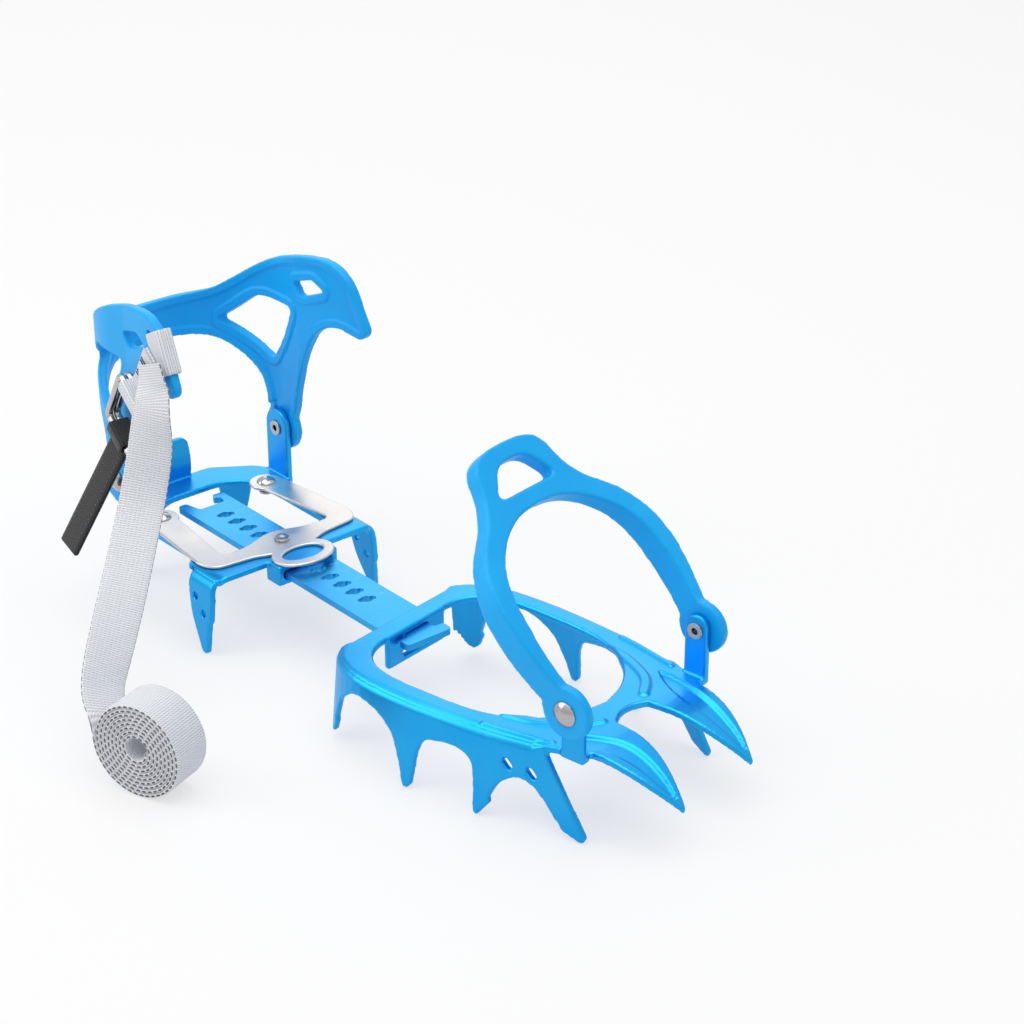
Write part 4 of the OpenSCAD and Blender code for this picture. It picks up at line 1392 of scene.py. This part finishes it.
@dataclass(frozen=True)
class Lamp:
    """A square soft lamp, in metres and watts."""

    name: str
    place: Place
    aim: Place
    size: float
    power: float

    def build(self) -> None:
        """Makes the lamp and turns it to its aim."""
        lamp = bpy.data.lights.new(self.name, "AREA")
        lamp.energy, lamp.size = self.power, self.size
        made = bpy.data.objects.new(self.name, lamp)
        bpy.context.scene.collection.objects.link(made)
        made.location = self.place
        made.rotation_mode = "QUATERNION"
        made.rotation_quaternion = (Vector(self.aim) - Vector(self.place)).to_track_quat("-Z", "Y")


@dataclass
class Studio:
    """The floor, the light and the camera."""

    eye_m: Place = (0.6714, -0.7331, 0.5783)
    forward: Place = (-0.571, 0.688, -0.4479)
    lens: float = 91.4
    floor_half_m: float = 4.0
    floor_glow: float = 0.62
    floor_shine: float = 0.3
    horizon: float = 0.66
    zenith: float = 1.0
    ambient: float = 0.55
    lamps: tuple[Lamp, ...] = (
        Lamp("top light", (0.0, -0.1, 1.6), (0, 0, 0), size=1.8, power=16.0),
        Lamp("left light", (-1.3, -1.2, 1.1), (0, 0, 0.05), size=1.2, power=9.0),
        Lamp("back light", (-1.1, 1.35, 0.95), (0, 0, 0.05), size=1.3, power=3.5))

    def seen_white(self, graph: Graph) -> Socket:
        """1 for camera, glossy and transmission rays, and 0 for the rest.

        Args:
            graph: The world's graph.

        Returns:
            The value.
        """
        path = graph.add("ShaderNodeLightPath").outputs
        both = graph.maths("MAXIMUM", path["Is Camera Ray"], path["Is Glossy Ray"])
        return graph.maths("MAXIMUM", both, path["Is Transmission Ray"])

    def floor(self) -> None:
        """Makes the pale floor, which keeps a soft shadow."""
        half = self.floor_half_m
        mesh = bpy.data.meshes.new("floor")
        mesh.from_pydata([(-half, -half, 0), (half, -half, 0), (half, half, 0), (-half, half, 0)],
                         [], [(0, 1, 2, 3)])
        made = mesh_object("floor", mesh)
        material = bpy.data.materials.new("pale floor")
        material.use_nodes = True
        graph = Graph(material.node_tree)
        material.node_tree.nodes.clear()
        matt = graph.add("ShaderNodeBsdfDiffuse", Color=(0.86, 0.86, 0.87, 1))
        glow = graph.add("ShaderNodeEmission", Color=(1, 1, 1, 1), Strength=1.0)
        path = graph.add("ShaderNodeLightPath").outputs
        other = graph.maths("MAXIMUM", path["Is Glossy Ray"], path["Is Transmission Ray"])
        share = graph.maths("MAXIMUM", graph.maths("MULTIPLY", path["Is Camera Ray"], self.floor_glow),
                            graph.maths("MULTIPLY", other, self.floor_shine))
        mixed = graph.add("ShaderNodeMixShader")
        graph.link(share, mixed.inputs[0])
        graph.link(matt.outputs[0], mixed.inputs[1])
        graph.link(glow.outputs[0], mixed.inputs[2])
        graph.link(mixed.outputs[0], graph.add("ShaderNodeOutputMaterial").inputs[0])
        mesh.materials.append(material)

    def lights(self) -> None:
        """Sets the world and the soft lamps."""
        world = bpy.data.worlds.new("studio")
        bpy.context.scene.world = world
        world.use_nodes = True
        graph = Graph(world.node_tree)
        back = world.node_tree.nodes["Background"]
        back.inputs["Color"].default_value = (1, 1, 1, 1)
        way = graph.add("ShaderNodeSeparateXYZ")
        graph.link(graph.add("ShaderNodeTexCoord").outputs["Generated"], way.inputs[0])
        pale = graph.ranged(way.outputs[2], 0.0, 0.8, self.horizon, self.zenith)
        seen = self.seen_white(graph)
        lit = graph.maths("MULTIPLY", graph.maths("SUBTRACT", 1.0, seen), self.ambient)
        graph.link(graph.maths("ADD", lit, graph.maths("MULTIPLY", seen, pale)),
                   back.inputs["Strength"])
        for lamp in self.lamps:
            lamp.build()

    def camera(self) -> None:
        """Sets the camera at the photograph's view."""
        data = bpy.data.cameras.new("camera")
        data.lens, data.sensor_width = self.lens, 36.0
        data.clip_start, data.clip_end = 0.01, 50.0
        made = bpy.data.objects.new("camera", data)
        bpy.context.scene.collection.objects.link(made)
        back = -Vector(self.forward).normalized()
        right = Vector((0, 0, 1)).cross(back).normalized()
        up = back.cross(right)
        turn = Matrix((right, up, back)).transposed().to_4x4()
        made.matrix_world = Matrix.Translation(self.eye_m) @ turn
        bpy.context.scene.camera = made

    def build(self) -> None:
        """Makes the whole studio."""
        self.camera()
        self.floor()
        self.lights()
        bpy.context.scene.view_settings.view_transform = "Standard"


def main() -> None:
    """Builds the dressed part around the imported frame."""
    logging.basicConfig(level=logging.INFO)
    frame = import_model()
    nodes = frame["nodes"]
    Studio().build()
    metal = AnodisedMetal("anodised frame").build()
    bar = AnodisedMetal("anodised bar", base=colour(44, 166, 228)).build()
    plastic = MouldedPlastic("blue nylon").build()
    latch_steel = BrushedSteel("brushed latch", turn=-AXES.bar_turn).build()
    rivet_steel = BrushedSteel("rivet steel", base=colour(186, 184, 182), roughness=0.18).build()
    ring_steel = BrushedSteel("ring wire", base=colour(196, 192, 188), roughness=0.16,
                              depth=0.00001).build()
    webbing = Webbing("grey webbing").build()
    roll_face = Webbing("grey webbing roll", edge_flecks=1.0).build()
    # the black tape also gets painted shade in the grooves between its ribs
    tape = Webbing("black tape", base=colour(34, 34, 36), painted_groove_shade=colour(14, 14, 15),
                   fleck=colour(60, 60, 62), half_w_m=0.007, edge_flecks=0.3).build()
    thread = PlainThread("black thread").build()
    grey = PlainThread("grey thread", base=colour(92, 92, 96)).build()
    pale = PlainThread("pale mark", base=colour(206, 228, 240), roughness=0.5).build()
    repeats = Repeats()
    Strap().build(webbing, roll_face)
    FrontSection().build(nodes, metal)
    HeelSection().build(nodes, metal, bar, latch_steel)
    PlasticParts().build(nodes, plastic)
    Fasteners().build(nodes, rivet_steel, ring_steel)
    Buckle().build(repeats, webbing, tape, thread, grey)
    BarMarks().build(repeats, pale)


if __name__ == "__main__":
    main()
